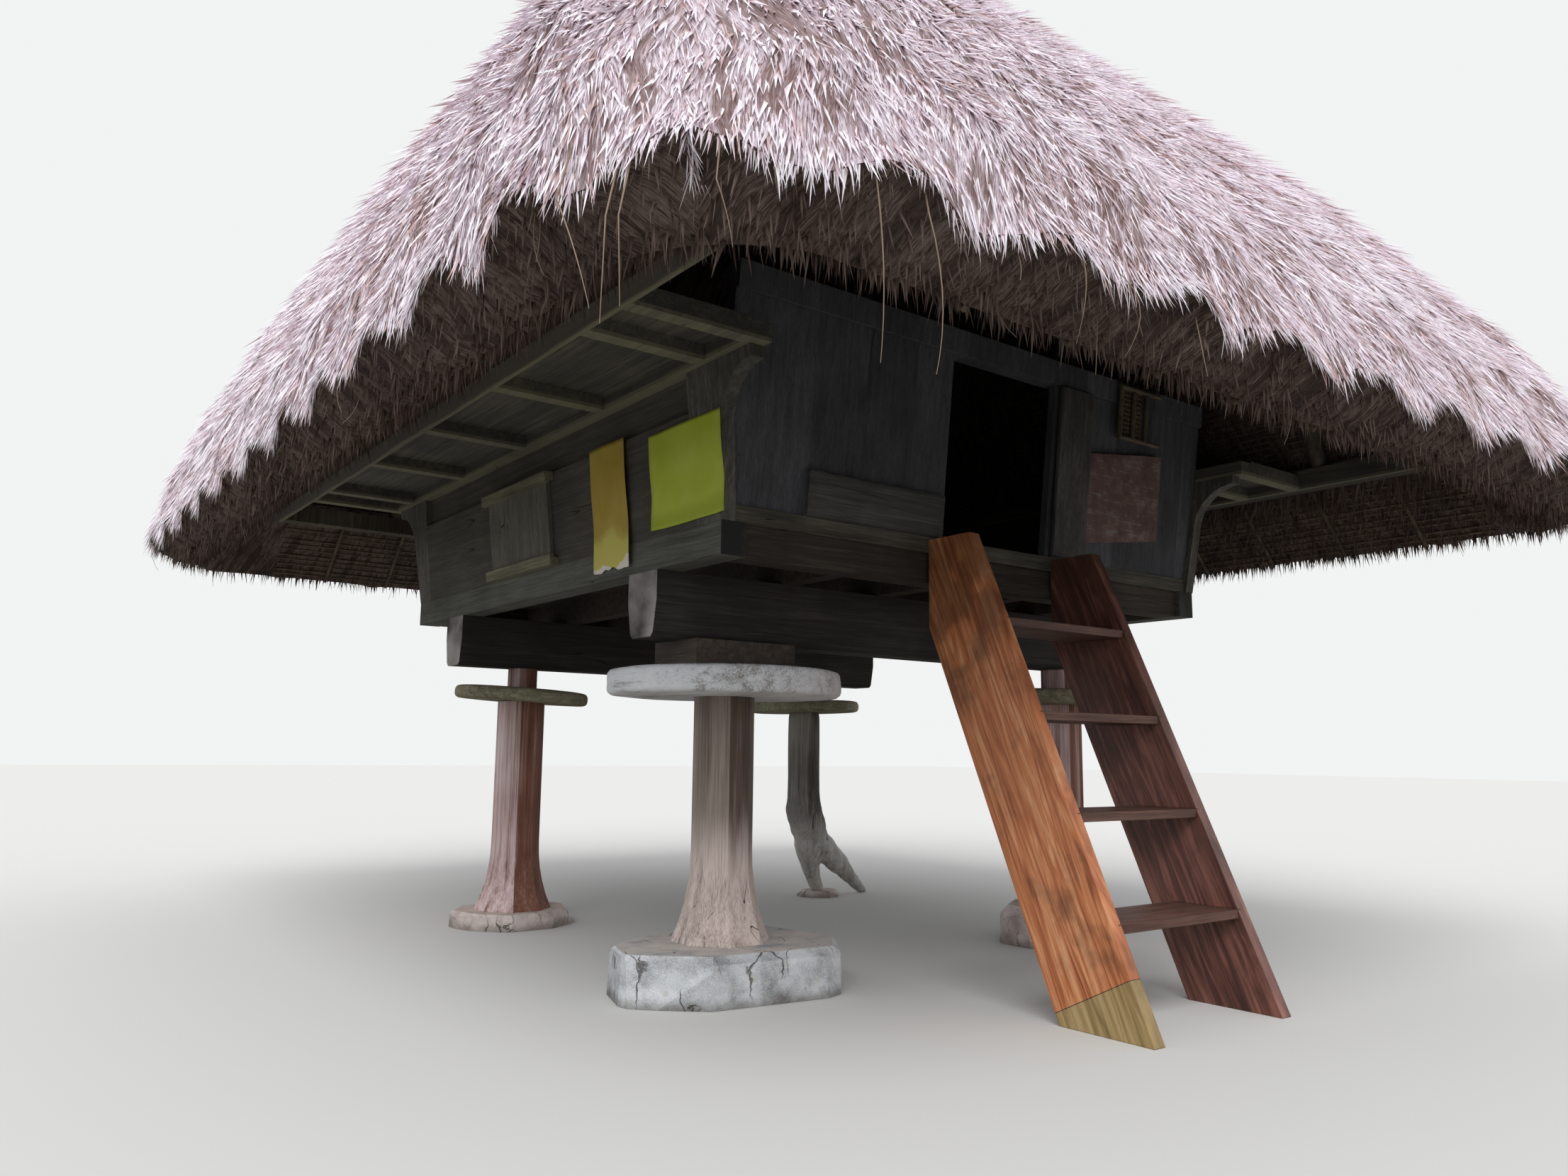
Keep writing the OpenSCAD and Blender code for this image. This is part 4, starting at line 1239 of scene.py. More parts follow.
    def outer_rows(self, side: Side) -> np.ndarray:
        """Rows of the outside from the rim up, lumpy, on the solid's own curve.

        Args:
            side: Slope that the rows belong to.

        Returns:
            An array of points by row, column and axis.
        """
        form = self.form
        shares = np.linspace(0, form.cover, self.curve_steps)
        fine = np.array([form.row(side, form.outside(s), self.inset)[0] for s in shares])
        outs = form.row(side, form.outside(0), self.inset)[1]
        between = form.between(side)
        steps = (np.arange(self.levels + 1) / self.levels) ** self.closeness
        wanted = np.zeros((len(steps), fine.shape[1]))
        rows = np.zeros((*wanted.shape, 3))
        for i in range(fine.shape[1]):
            rough = noise.noise(Vector((fine[0, i, 0], fine[0, i, 1], 4.0)) * 7.0)
            lift = self.rim_lift + self.rim_notch * (1 + between[i]) / 2 + self.rim_roughness * rough
            start = lift / (form.top - form.eave)
            wanted[:, i] = start + (form.cover - start) * steps
            for axis in range(3):
                rows[:, i, axis] = np.interp(wanted[:, i], shares, fine[:, i, axis])
        level = wanted / form.cover
        swing = 1 - 2 * np.abs((level * form.level_count + 1) % 2 - 1)
        hollow = self.hollow * (1 - level ** 4) * (1 - swing * between) / 2
        tuck = (self.eave_inset - self.inset) * np.maximum(0.0, 1 - wanted / self.tuck_share)
        for j, row in enumerate(rows):
            for i, p in enumerate(row):
                v = Vector(p)
                rough = 0.5 + 0.35 * noise.noise(v * 2.4) + 0.3 * noise.noise(v * 8.0)
                rough = self.roughness * min(1.0, max(0.0, rough))
                row[i] = p - outs[i] * (hollow[j, i] + tuck[j, i] + rough)
        return rows

    def lip_row(self, side: Side, share: float, rim: np.ndarray) -> np.ndarray:
        """One row of the eave's underside, from the bed to the rim.

        Args:
            side: Slope that the row belongs to.
            share: Share of the way to the rim.
            rim: Points of the rim.

        Returns:
            An array of points.
        """
        inner = self.form.row(side, self.form.bed(0))[0]
        lip = self.form.row(side, self.form.inner_lip())[0] + np.array((0, 0, self.lip_lift))
        if share <= self.lip_bend:
            return inner + (lip - inner) * share / self.lip_bend
        return lip + (rim - lip) * (share - self.lip_bend) / (1 - self.lip_bend)

    def unwrap(self, mesh: bpy.types.Mesh, grid: np.ndarray, side: Side) -> None:
        """Lay the shell out flat in metres, so that fibres and locks follow the slope.

        Args:
            mesh: The shell's mesh.
            grid: Points of the shell by row.
            side: Slope, which sets its pattern apart from the others'.
        """
        steps = np.linalg.norm(np.diff(grid, axis=0), axis=2)
        up = np.vstack([np.zeros(grid.shape[1]), np.cumsum(steps, axis=0)]) + 20.0 * side.value
        span = np.cumsum(np.linalg.norm(np.diff(grid, axis=1), axis=2), axis=1)
        span = np.hstack([np.zeros((len(grid), 1)), span])
        width = span[:, -1:]
        across = (span - width / 2) * np.sqrt(width[self.rim] / width)
        level = np.stack([across, up, np.zeros_like(up)], axis=2).astype(np.float32)
        mesh.attributes["flat"].data.foreach_set("vector", level.ravel())
        layer = mesh.uv_layers.new(name="UVMap")
        flat = level[:, :, :2].reshape(-1, 2)
        numbers = np.zeros(len(mesh.loops), dtype=np.int32)
        mesh.loops.foreach_get("vertex_index", numbers)
        layer.data.foreach_set("uv", flat[numbers].astype(np.float32).ravel())


@dataclass
class RidgeBundle:
    """Cap of bundled grass over the top, draped over the ridge."""

    shell_finish: Material
    blade_finish: Material
    spread: BladeSpread
    inset: float = 0.05
    rounding: float = 0.9
    rounds: int = 40
    rings: tuple[float, ...] = (0.0, 0.12, 0.25, 0.4, 0.55, 0.7, 0.82, 0.92, 0.98)

    def build(self) -> None:
        """Make the cap."""
        low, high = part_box("ridge_cap")
        half_length = high.x - high.y
        n = self.rounds
        points = []
        for s in self.rings:
            reach = high.y * math.sqrt(1 - s * s * self.rounding) - self.inset
            height = low.z + (high.z - low.z - self.inset) * s
            for i in range(n):
                x = self.side_sign(i) * half_length + reach * math.cos(self.angle(i))
                points.append((x, reach * math.sin(self.angle(i)), height))
        last = len(self.rings) - 1
        faces = [(j * n + i, j * n + (i + 1) % n, (j + 1) * n + (i + 1) % n, (j + 1) * n + i)
                 for j in range(last) for i in range(n)]
        faces.append(list(range(n))[::-1])
        faces.append(list(range(last * n, last * n + n)))
        piece = new_piece("grass_ridge", points, faces, self.shell_finish)
        bpy.context.view_layer.objects.active = piece
        split = piece.modifiers.new("split", "SUBSURF")
        split.subdivision_type = "SIMPLE"
        split.levels = split.render_levels = 2
        apply_modifiers(piece)
        self.mark(piece.data, low.z)
        face_outwards(piece.data)
        run_tree(piece, self.spread.tree, {
            "Blades per square metre": 3600.0, "Blade length": 0.22, "Blade width": 0.022, "Lift": 0.08,
            "Spread": 0.16, "Fringe strands per square metre": 0.0, "Fringe length": 0.1, "Seed": 90,
            "Blade finish": self.blade_finish, "Fringe finish": self.blade_finish})
        trim(piece, "ridge_cap")
        settle(piece, "thatch", "ridge_cap")

    def angle(self, number: int) -> float:
        """Angle of a point of the outline, half a step off the corners."""
        return 2 * math.pi * (number + 0.5) / self.rounds

    def side_sign(self, number: int) -> int:
        """Which end of the ridge a point of the outline belongs to."""
        return 1 if math.cos(self.angle(number)) > 0 else -1

    def mark(self, mesh: bpy.types.Mesh, foot: float) -> None:
        """Store the blades' fall and share on the cap's points.

        Args:
            mesh: The cap's mesh.
            foot: Height of the cap's lower edge.
        """
        mesh.uv_layers.new(name="UVMap")
        mesh.attributes.new("fall", "FLOAT_VECTOR", "POINT")
        for name in ("grass", "fringe", "growth"):
            mesh.attributes.new(name, "FLOAT", "POINT")
        fall, grass, growth = (mesh.attributes[name] for name in ("fall", "grass", "growth"))
        for i, v in enumerate(mesh.vertices):
            out = Vector((v.co.x * 0.25, v.co.y, 0))
            out = out.normalized() if out.length > 1e-6 else Vector((0, 1, 0))
            fall.data[i].vector = (out * 0.4 + Vector((0, 0, -1))).normalized()
            grass.data[i].value = 1.0 if v.co.z > foot + 0.002 else 0.0
            growth.data[i].value = 1.0
        for loop in mesh.loops:
            p = mesh.vertices[loop.vertex_index].co
            mesh.uv_layers[0].data[loop.index].uv = (p.x + math.atan2(p.y, 0.3), p.z)


# ---- canes, straws and strips that follow guide lines


@dataclass
class GuideSweep:
    """Geometry Nodes tree that sweeps a round section along guide lines, tapering to their ends."""

    tree: NodeGroup = field(init=False)

    def __post_init__(self) -> None:
        """Build the tree."""
        tree, given = tree_with("guide_sweep", {"Thickness": "Float", "Sides": "Int", "Taper": "Float",
                                                "Finish": "Material"})
        self.tree = tree
        sockets = given.outputs
        lines = add(tree, "GeometryNodeMeshToCurve", {0: sockets["Geometry"]}).outputs[0]
        place = add(tree, "GeometryNodeSplineParameter").outputs[0]
        scale = reckon(tree, "SUBTRACT", 1.0, reckon(tree, "MULTIPLY", place, sockets["Taper"]))
        radius = reckon(tree, "MULTIPLY", sockets["Thickness"], 0.5)
        ring = add(tree, "GeometryNodeCurvePrimitiveCircle",
                   {"Resolution": sockets["Sides"], "Radius": radius})
        tube = add(tree, "GeometryNodeCurveToMesh", {
            "Curve": lines, "Profile Curve": ring.outputs[0], "Scale": scale, "Fill Caps": True})
        real = add(tree, "GeometryNodeRealizeInstances", {0: tube.outputs[0]}).outputs[0]
        done = add(tree, "GeometryNodeSetMaterial", {"Geometry": real, "Material": sockets["Finish"]})
        add(tree, "NodeGroupOutput", {0: done.outputs[0]})

    def run(self, name: str, lines: list[list[Vector]], thick: float, sides: int, taper: float,
            finish: Material) -> MeshObject:
        """Sweep guide lines.

        Args:
            name: Name of the piece.
            lines: Guide lines as lists of points.
            thick: Thickness at the start of a line.
            sides: Number of sides of the section.
            taper: Share of the thickness that is lost along a line.
            finish: Material of the piece.

        Returns:
            The piece.
        """
        mesh = bpy.data.meshes.new(name)
        points, edges = [], []
        for line in lines:
            start = len(points)
            points.extend(tuple(p) for p in line)
            edges.extend((start + i, start + i + 1) for i in range(len(line) - 1))
        mesh.from_pydata(points, edges, [])
        piece = bpy.data.objects.new(name, mesh)
        bpy.context.scene.collection.objects.link(piece)
        run_tree(piece, self.tree, {"Thickness": thick, "Sides": sides, "Taper": taper, "Finish": finish})
        return piece


@dataclass
class ReedLaths:
    """Reeds tied in rows under the thatch, and the bamboo tails that carry them out to the eave."""

    sweep: GuideSweep
    reed: Material
    bamboo: Material
    form: RoofForm = field(default_factory=RoofForm)
    step: float = 0.045
    point_step: int = 6
    sway: float = 0.004
    reed_thick: float = 0.014
    tail_thick: float = 0.03
    tail_step: float = 0.42
    tail_drop: float = 0.014
    lip_lift: float = 0.024
    bed_lift: float = 0.002
    under_eave: float = 0.8
    up_the_bed: float = 3.9
    bed_share: float = 0.35

    def build(self) -> None:
        """Make the reeds and the tails of all four slopes."""
        reeds, tails = [], []
        arc = self.form.arc_steps
        for side in Side:
            for number, (low, share) in enumerate(self.places()):
                row = self.under_row(side, low, share)
                sway = Vector((0, 0, self.sway * math.sin(number * 2.3 + side.value)))
                reeds.append([Vector(p) + sway for p in row[arc:-arc:self.point_step]])
            tails.extend(self.tail_lines(side))
        settle(self.sweep.run("reed_laths", reeds, self.reed_thick, 6, 0.2, self.reed), "thatch")
        settle(self.sweep.run("eave_tails", tails, self.tail_thick, 8, 0.25, self.bamboo), "dark_wood")

    def places(self) -> list[tuple[bool, float]]:
        """Places of the reeds: a flag for the eave's underside and a share of its or the bed's length."""
        eave = [(True, i * self.step / self.under_eave) for i in range(int(self.under_eave / self.step))]
        count = int(self.up_the_bed * self.bed_share / self.step)
        return eave + [(False, i * self.step / self.up_the_bed) for i in range(count)]

    def under_row(self, side: Side, low: bool, share: float) -> np.ndarray:
        """Points across a slope, on the underside of its thatch.

        Args:
            side: Slope.
            low: Whether the row lies in the eave's overhang.
            share: Share of the way out to the lip, or up the bed.

        Returns:
            An array of points.
        """
        form = self.form
        if not low:
            return form.row(side, form.bed(share))[0] + np.array((0, 0, self.bed_lift))
        inner = form.row(side, form.bed(0))[0]
        lip = form.row(side, form.inner_lip())[0] + np.array((0, 0, self.lip_lift))
        return inner + (lip - inner) * share

    def tail_lines(self, side: Side) -> list[list[Vector]]:
        """Guide lines of the tails of one slope, from the eave beam out to the lip.

        Args:
            side: Slope.

        Returns:
            A list of guide lines.
        """
        lines = []
        rows = [self.under_row(side, True, s) for s in (0.02, 0.3, 0.6, 0.93)]
        arc = self.form.arc_steps
        straight = len(rows[0]) - 2 * arc - 1
        count = int(2 * (self.form.ring_x if side.value % 2 == 0 else self.form.ring_y) / self.tail_step)
        for k in range(1, count):
            i = int(arc + straight * k / count)
            lines.append([Vector(row[i]) - Vector((0, 0, self.tail_drop)) for row in rows])
        return lines


@dataclass
class LooseStraws:
    """Long loose straws that hang from the eave, bent by their own weight."""

    sweep: GuideSweep
    finish: Material
    form: RoofForm = field(default_factory=RoofForm)
    thick: float = 0.006
    count: int = 16
    seed: int = 12
    shortest: float = 0.12
    longer: float = 0.16
    lean: float = 0.16
    bow: float = 0.03
    inset: float = 0.1
    raised: float = 0.1
    root_in: float = 0.09
    root_up: float = 0.17
    long_ones: tuple[tuple[Place, Place, Place], ...] = (
        ((-2.325, -3.45, 2.27), (0.01, 0.0, -0.42), (0.015, 0.0, 0.0)),
        ((-2.165, -3.45, 2.25), (0.021, 0.0, -0.39), (0.033, 0.0, 0.0)),
        ((-2.69, -3.35, 2.2), (0.045, 0.0, -0.14), (0.006, 0.0, 0.0)),
        ((-2.92, -3.06, 2.2), (-0.01, -0.2, -0.32), (0.0, -0.01, 0.0)),
        ((-2.87, -3.2, 2.12), (-0.005, 0.0, -0.24), (0.0, 0.0, 0.0)),
        ((-2.85, -3.22, 2.12), (0.01, 0.0, -0.2), (0.0, 0.0, 0.0)))

    def build(self) -> None:
        """Make the straws all round the eave."""
        rng = np.random.default_rng(self.seed)
        lines = []
        for side in Side:
            row, outs = self.form.row(side, self.form.outside(0.0), self.inset)
            for _ in range(self.count):
                i = rng.integers(0, len(row))
                start = Vector(row[i]) + Vector((0, 0, self.raised)) - Vector(outs[i]) * rng.uniform(0, 0.2)
                length = self.shortest + self.longer * rng.random() ** 2
                lean = Vector((rng.normal(0, self.lean), rng.normal(0, self.lean), -1)).normalized()
                bow = Vector((rng.normal(0, self.bow), rng.normal(0, self.bow), 0))
                lines.append(self.bent(start, lean * length, bow))
        for start, fall, bow in self.long_ones:
            lines.append(self.bent(Vector(start), Vector(fall), Vector(bow)))
        settle(self.sweep.run("loose_straws", lines, self.thick, 5, 0.75, self.finish), "thatch")

    def bent(self, start: Vector, fall: Vector, bow: Vector) -> list[Vector]:
        """Guide line of one straw, with its root held in the thatch.

        Args:
            start: Place where the straw leaves the thatch.
            fall: Way from there to its tip, if it were straight.
            bow: How far the middle of the straw stands off that way.

        Returns:
            Points of the line.
        """
        inward = -Vector((start.x, start.y, 0)).normalized()
        root = start + inward * self.root_in + Vector((0, 0, self.root_up))
        shares = (0, 0.15, 0.3, 0.45, 0.6, 0.75, 0.9, 1.0)
        return [root, *(start + fall * t + bow * 4 * t * (1 - t) for t in shares)]


# ---- boards and sheets on the walls


def nearest_surface(nodes: tuple[str, ...]) -> BVHTree:
    """Search tree over the faces of some nodes.

    Args:
        nodes: Names of the nodes.

    Returns:
        The tree.
    """
    points, faces = [], []
    for name in nodes:
        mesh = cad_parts[name].data
        start = len(points)
        points.extend(v.co.copy() for v in mesh.vertices)
        faces.extend([start + i for i in p.vertices] for p in mesh.polygons)
    return BVHTree.FromPolygons(points, faces)


@dataclass
class WallPlane:
    """Leaning outer face of a wall, with the nodes that something fixed to it must clear."""

    side: Side
    nodes: tuple[str, ...]
    foot: float = 1.885
    half: float = 1.65
    lean: float = math.tan(math.radians(6.5))
    probes: int = 12

    def out(self, height: float) -> float:
        """Distance of the leaning face from the middle at a height."""
        return self.half + (height - self.foot) * self.lean

    def point(self, along: float, height: float, proud: float) -> Vector:
        """Point at a distance outside the leaning face.

        Args:
            along: Place along the wall, in the building's own X or Y.
            height: Height.
            proud: Distance outside the face, measured level.

        Returns:
            The point.
        """
        reach = self.out(height) + proud
        return Vector((along, -reach, height)) if self.side is Side.FRONT else Vector((-reach, along, height))

    def clearance(self, low: tuple[float, float], high: tuple[float, float]) -> float:
        """How far the nodes behind a rectangle stand out of the leaning face at most.

        Args:
            low: Lowest place along the wall and lowest height.
            high: Highest place along the wall and highest height.

        Returns:
            A distance in metres.
        """
        surface = nearest_surface(self.nodes)
        inward = Vector((0, 1, 0)) if self.side is Side.FRONT else Vector((1, 0, 0))
        most = -1.0
        for i in range(self.probes + 1):
            for j in range(self.probes + 1):
                along = low[0] + (high[0] - low[0]) * i / self.probes
                height = low[1] + (high[1] - low[1]) * j / self.probes
                start = self.point(along, height, 1.0)
                hit = surface.ray_cast(start, inward)[0]
                if hit is not None:
                    most = max(most, 1.0 - (hit - start).length)
        return most


def slab_faces(n: int, m: int) -> list[list[int]]:
    """Faces of a thin closed slab whose two layers are equal grids of points.

    Args:
        n: Steps along the grid's slow direction.
        m: Steps along its fast direction.

    Returns:
        Lists of point numbers, with the second layer's after the first's.
    """
    shift = (n + 1) * (m + 1)
    faces = []
    for i in range(n):
        for j in range(m):
            a = i * (m + 1) + j
            quad = [a, a + m + 1, a + m + 2, a + 1]
            faces.append(quad)
            faces.append([k + shift for k in quad])
    rim = [i * (m + 1) for i in range(n)]
    rim += [n * (m + 1) + j for j in range(m)]
    rim += [i * (m + 1) + m for i in range(n, 0, -1)]
    rim += list(range(m, 0, -1))
    for a, b in zip(rim, rim[1:] + rim[:1]):
        faces.append([a, b, b + shift, a + shift])
    return faces


@dataclass
class WallBoard:
    """Hand-cut board nailed on a leaning wall, with worn, slightly wavy edges."""

    name: str
    plane: WallPlane
    low: tuple[float, float]
    high: tuple[float, float]
    thick: float
    finish: Material
    seed: int = 1
    slant: float = 0.0
    steps: tuple[int, int] = (24, 10)
    end_wave: float = 0.003
    side_wave: float = 0.004
    worn_edge: float = 0.0025

    def build(self) -> None:
        """Make the board."""
        seat = self.plane.clearance(self.low, self.high) + 0.0005
        a0, z0 = self.low
        a1, z1 = self.high
        n, m = self.steps
        wave = [[noise.noise(Vector((i * 0.35, self.seed, k))) for k in (0, 9)] for i in range(n + 1)]
        points = []
        for layer, proud in enumerate((seat, seat + self.thick)):
            for i in range(n + 1):
                for j in range(m + 1):
                    u, v = i / n, j / m
                    along = a0 + (a1 - a0) * u
                    if i in (0, n):
                        along += self.end_wave * wave[j][0]
                    height = z0 + (z1 - z0) * v + self.slant * (u - 0.5) * (a1 - a0)
                    if j in (0, m):
                        height += self.side_wave * wave[i][j // m]
                    worn = layer == 1 and (i in (0, n) or j in (0, m))
                    points.append(self.plane.point(along, height, proud - self.worn_edge * worn))
        piece = new_piece(self.name, points, slab_faces(n, m), self.finish)
        face_outwards(piece.data)
        settle(piece, "wall_wood")


@dataclass
class PaperSheet:
    """Blank paper sheet pinned on a leaning wall, with soft waves and lifted corners."""

    name: str
    plane: WallPlane
    low: tuple[float, float]
    high: tuple[float, float]
    finish: Material
    curl: float = 0.012
    torn: bool = False
    thick: float = 0.0012
    steps: tuple[int, int] = (20, 30)

    def build(self) -> None:
        """Make the sheet."""
        seat = self.plane.clearance(self.low, self.high) + 0.001
        a0, z0 = self.low
        a1, z1 = self.high
        n, m = self.steps
        points = []
        for proud in (seat + self.thick, seat):
            for i in range(n + 1):
                for j in range(m + 1):
                    u, v = i / n, j / m
                    height = z0 + (z1 - z0) * v + self.tear(u) * (1 - v) ** 6
                    points.append(self.plane.point(a0 + (a1 - a0) * u, height, proud + self.lift(u, v)))
        piece = new_piece(self.name, points, slab_faces(n, m), self.finish)
        face_outwards(piece.data)
        for polygon in piece.data.polygons:
            polygon.use_smooth = True
        settle(piece, "wall_wood")

    def lift(self, u: float, v: float) -> float:
        """How far the sheet stands off at a share of its width and height: soft waves and lifted corners."""
        edge = max(0.0, abs(2 * u - 1) - 0.75) * max(0.0, 0.35 - v) * 11
        return self.curl * edge + 0.0022 * (1 + math.sin(7 * u + 4 * v)) + 0.002 * (1 + math.cos(9 * v))

    def tear(self, u: float) -> float:
        """How much of the lower edge is torn off at a share of the width."""
        if not self.torn:
            return 0.0
        return max(0.0, 0.035 * noise.noise(Vector((u * 5, 3, 1))) + 0.02 * (0.5 - abs(u - 0.6)))


# ---- stones and post feet


@dataclass
class RoughStone:
    """Footing stone broken along flat planes, with chipped edges, inside its plain slab."""

    node: str
    finish: Material
    seed: int
    chips: int = 15
    deepest: float = 0.05
    tips: Place = (0.05, 0.15, 0.9)
    odds: Place = (0.4, 0.25, 0.35)
    jitter: float = 0.35
    edge_radius: float = 0.003
    edge_angle: float = math.radians(18)

    def build(self) -> None:
        """Make the stone from a copy of its slab by splitting flakes off its rim."""
        rng = np.random.default_rng(self.seed)
        low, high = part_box(self.node)
        middle = (low + high) / 2
        work = bmesh.new()
        work.from_mesh(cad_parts[self.node].data)
        bmesh.ops.remove_doubles(work, verts=work.verts, dist=MERGE_DISTANCE)
        for number in range(self.chips):
            a = 2 * math.pi * (number + rng.uniform(-self.jitter, self.jitter)) / self.chips
            tip = rng.choice(self.tips, p=self.odds)
            out = Vector((math.cos(a), math.sin(a), tip)).normalized()
            reach = max((v.co - middle).dot(out) for v in work.verts)
            depth = rng.uniform(0.25, 1.0) * self.deepest * (0.5 if tip > 0.5 else 1.0)
            self.split(work, middle + out * (reach - depth), out)
        piece = new_piece("rough_" + self.node, [], [], self.finish)
        bmesh.ops.recalc_face_normals(work, faces=work.faces)
        bmesh.ops.triangulate(work, faces=[f for f in work.faces if len(f.verts) > 4])
        work.to_mesh(piece.data)
        work.free()
        worn = piece.modifiers.new("worn_edges", "BEVEL")
        worn.width = self.edge_radius
        worn.segments = 2
        worn.limit_method = "ANGLE"
        worn.angle_limit = self.edge_angle
        apply_modifiers(piece)
        settle(piece, "stone", self.node)

    def split(self, work: bmesh.types.BMesh, place: Vector, out: Vector) -> None:
        """Split off everything beyond a plane and close the break.

        Args:
            work: Mesh of the stone.
            place: A point of the plane.
            out: Direction that points away from what is kept.
        """
        parts = list(work.verts) + list(work.edges) + list(work.faces)
        cut = bmesh.ops.bisect_plane(work, geom=parts, dist=0.0001, plane_co=place, plane_no=out,
                                     clear_outer=True)
        edges = [e for e in cut["geom_cut"] if isinstance(e, bmesh.types.BMEdge)]
        if edges:
            bmesh.ops.holes_fill(work, edges=edges, sides=0)


@dataclass
class RootedPost:
    """Grey trunk that forks in two roots, rounded and furrowed where the solid has plain limbs."""

    node: str
    finish: Material
    voxel: float = 0.011
    furrow: float = 0.006
    thicker: float = 0.006
    swell: float = 0.042
    crotch: float = 0.42
    crotch_spread: float = 0.22

    def build(self) -> None:
        """Round off a copy of the solid and press furrows in it."""
        low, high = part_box(self.node)
        piece = copy_of(self.node, "rooted_" + self.node, self.finish)
        self.grow_together(piece, 2)
        for v in piece.data.vertices:
            swell = self.swell * math.exp(-((v.co.z - self.crotch) / self.crotch_spread) ** 2)
            v.co += v.normal * (self.thicker + swell)
        self.grow_together(piece, 12)
        for v in piece.data.vertices:
            drawn = Vector((v.co.x * 22, v.co.y * 22, v.co.z * 2.4))
            v.co -= v.normal * self.furrow * max(0.0, 0.5 + noise.noise(drawn))
            v.co.z = min(max(v.co.z, low.z), high.z)
        settle(piece, "post_wood", self.node)

    def grow_together(self, piece: MeshObject, rounds: int) -> None:
        """Merge what overlaps into one skin and smooth it.

        Args:
            piece: The post.
            rounds: Rounds of smoothing.
        """
        skin_over(piece, self.voxel)
        soften = piece.modifiers.new("soften", "SMOOTH")
        soften.factor = 0.6
        soften.iterations = rounds
        apply_modifiers(piece)


@dataclass
class WornDisc:
    """Guard disc with an uneven, chipped rim, tilted a little on its post."""

    node: str
    finish: Material
    tilt: float = 0.0
    seed: int = 1
    wear: float = 0.012
    voxel: float = 0.012
    worn_from: float = 0.75
    tilt_axis: Place = (0.6, 0.8, 0.0)

    def build(self) -> None:
        """Wear down a copy of the solid."""
        low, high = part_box(self.node)
        middle = (low + high) / 2
        piece = copy_of(self.node, "worn_" + self.node, self.finish)
        skin_over(piece, self.voxel)
        apply_modifiers(piece)
        tilt = Matrix.Rotation(self.tilt, 4, Vector(self.tilt_axis))
        turn = Matrix.Translation(middle) @ tilt @ Matrix.Translation(-middle)
        for v in piece.data.vertices:
            flat = Vector((v.co.x - middle.x, v.co.y - middle.y, 0))
            around = flat.normalized() * 1.6 + Vector((0, 0, self.seed))
            worn = self.wear * (0.5 + noise.noise(around)) + 0.006 * max(0.0, noise.noise(v.co * 14))
            share = max(0.0, flat.length / (high.x - middle.x) - self.worn_from) / (1 - self.worn_from)
            v.co -= (flat.normalized() + Vector((0, 0, (v.co.z - middle.z) * 2))) * worn * share
            v.co = turn @ v.co
        settle(piece, "grey_wood", self.node)


# ---- the building


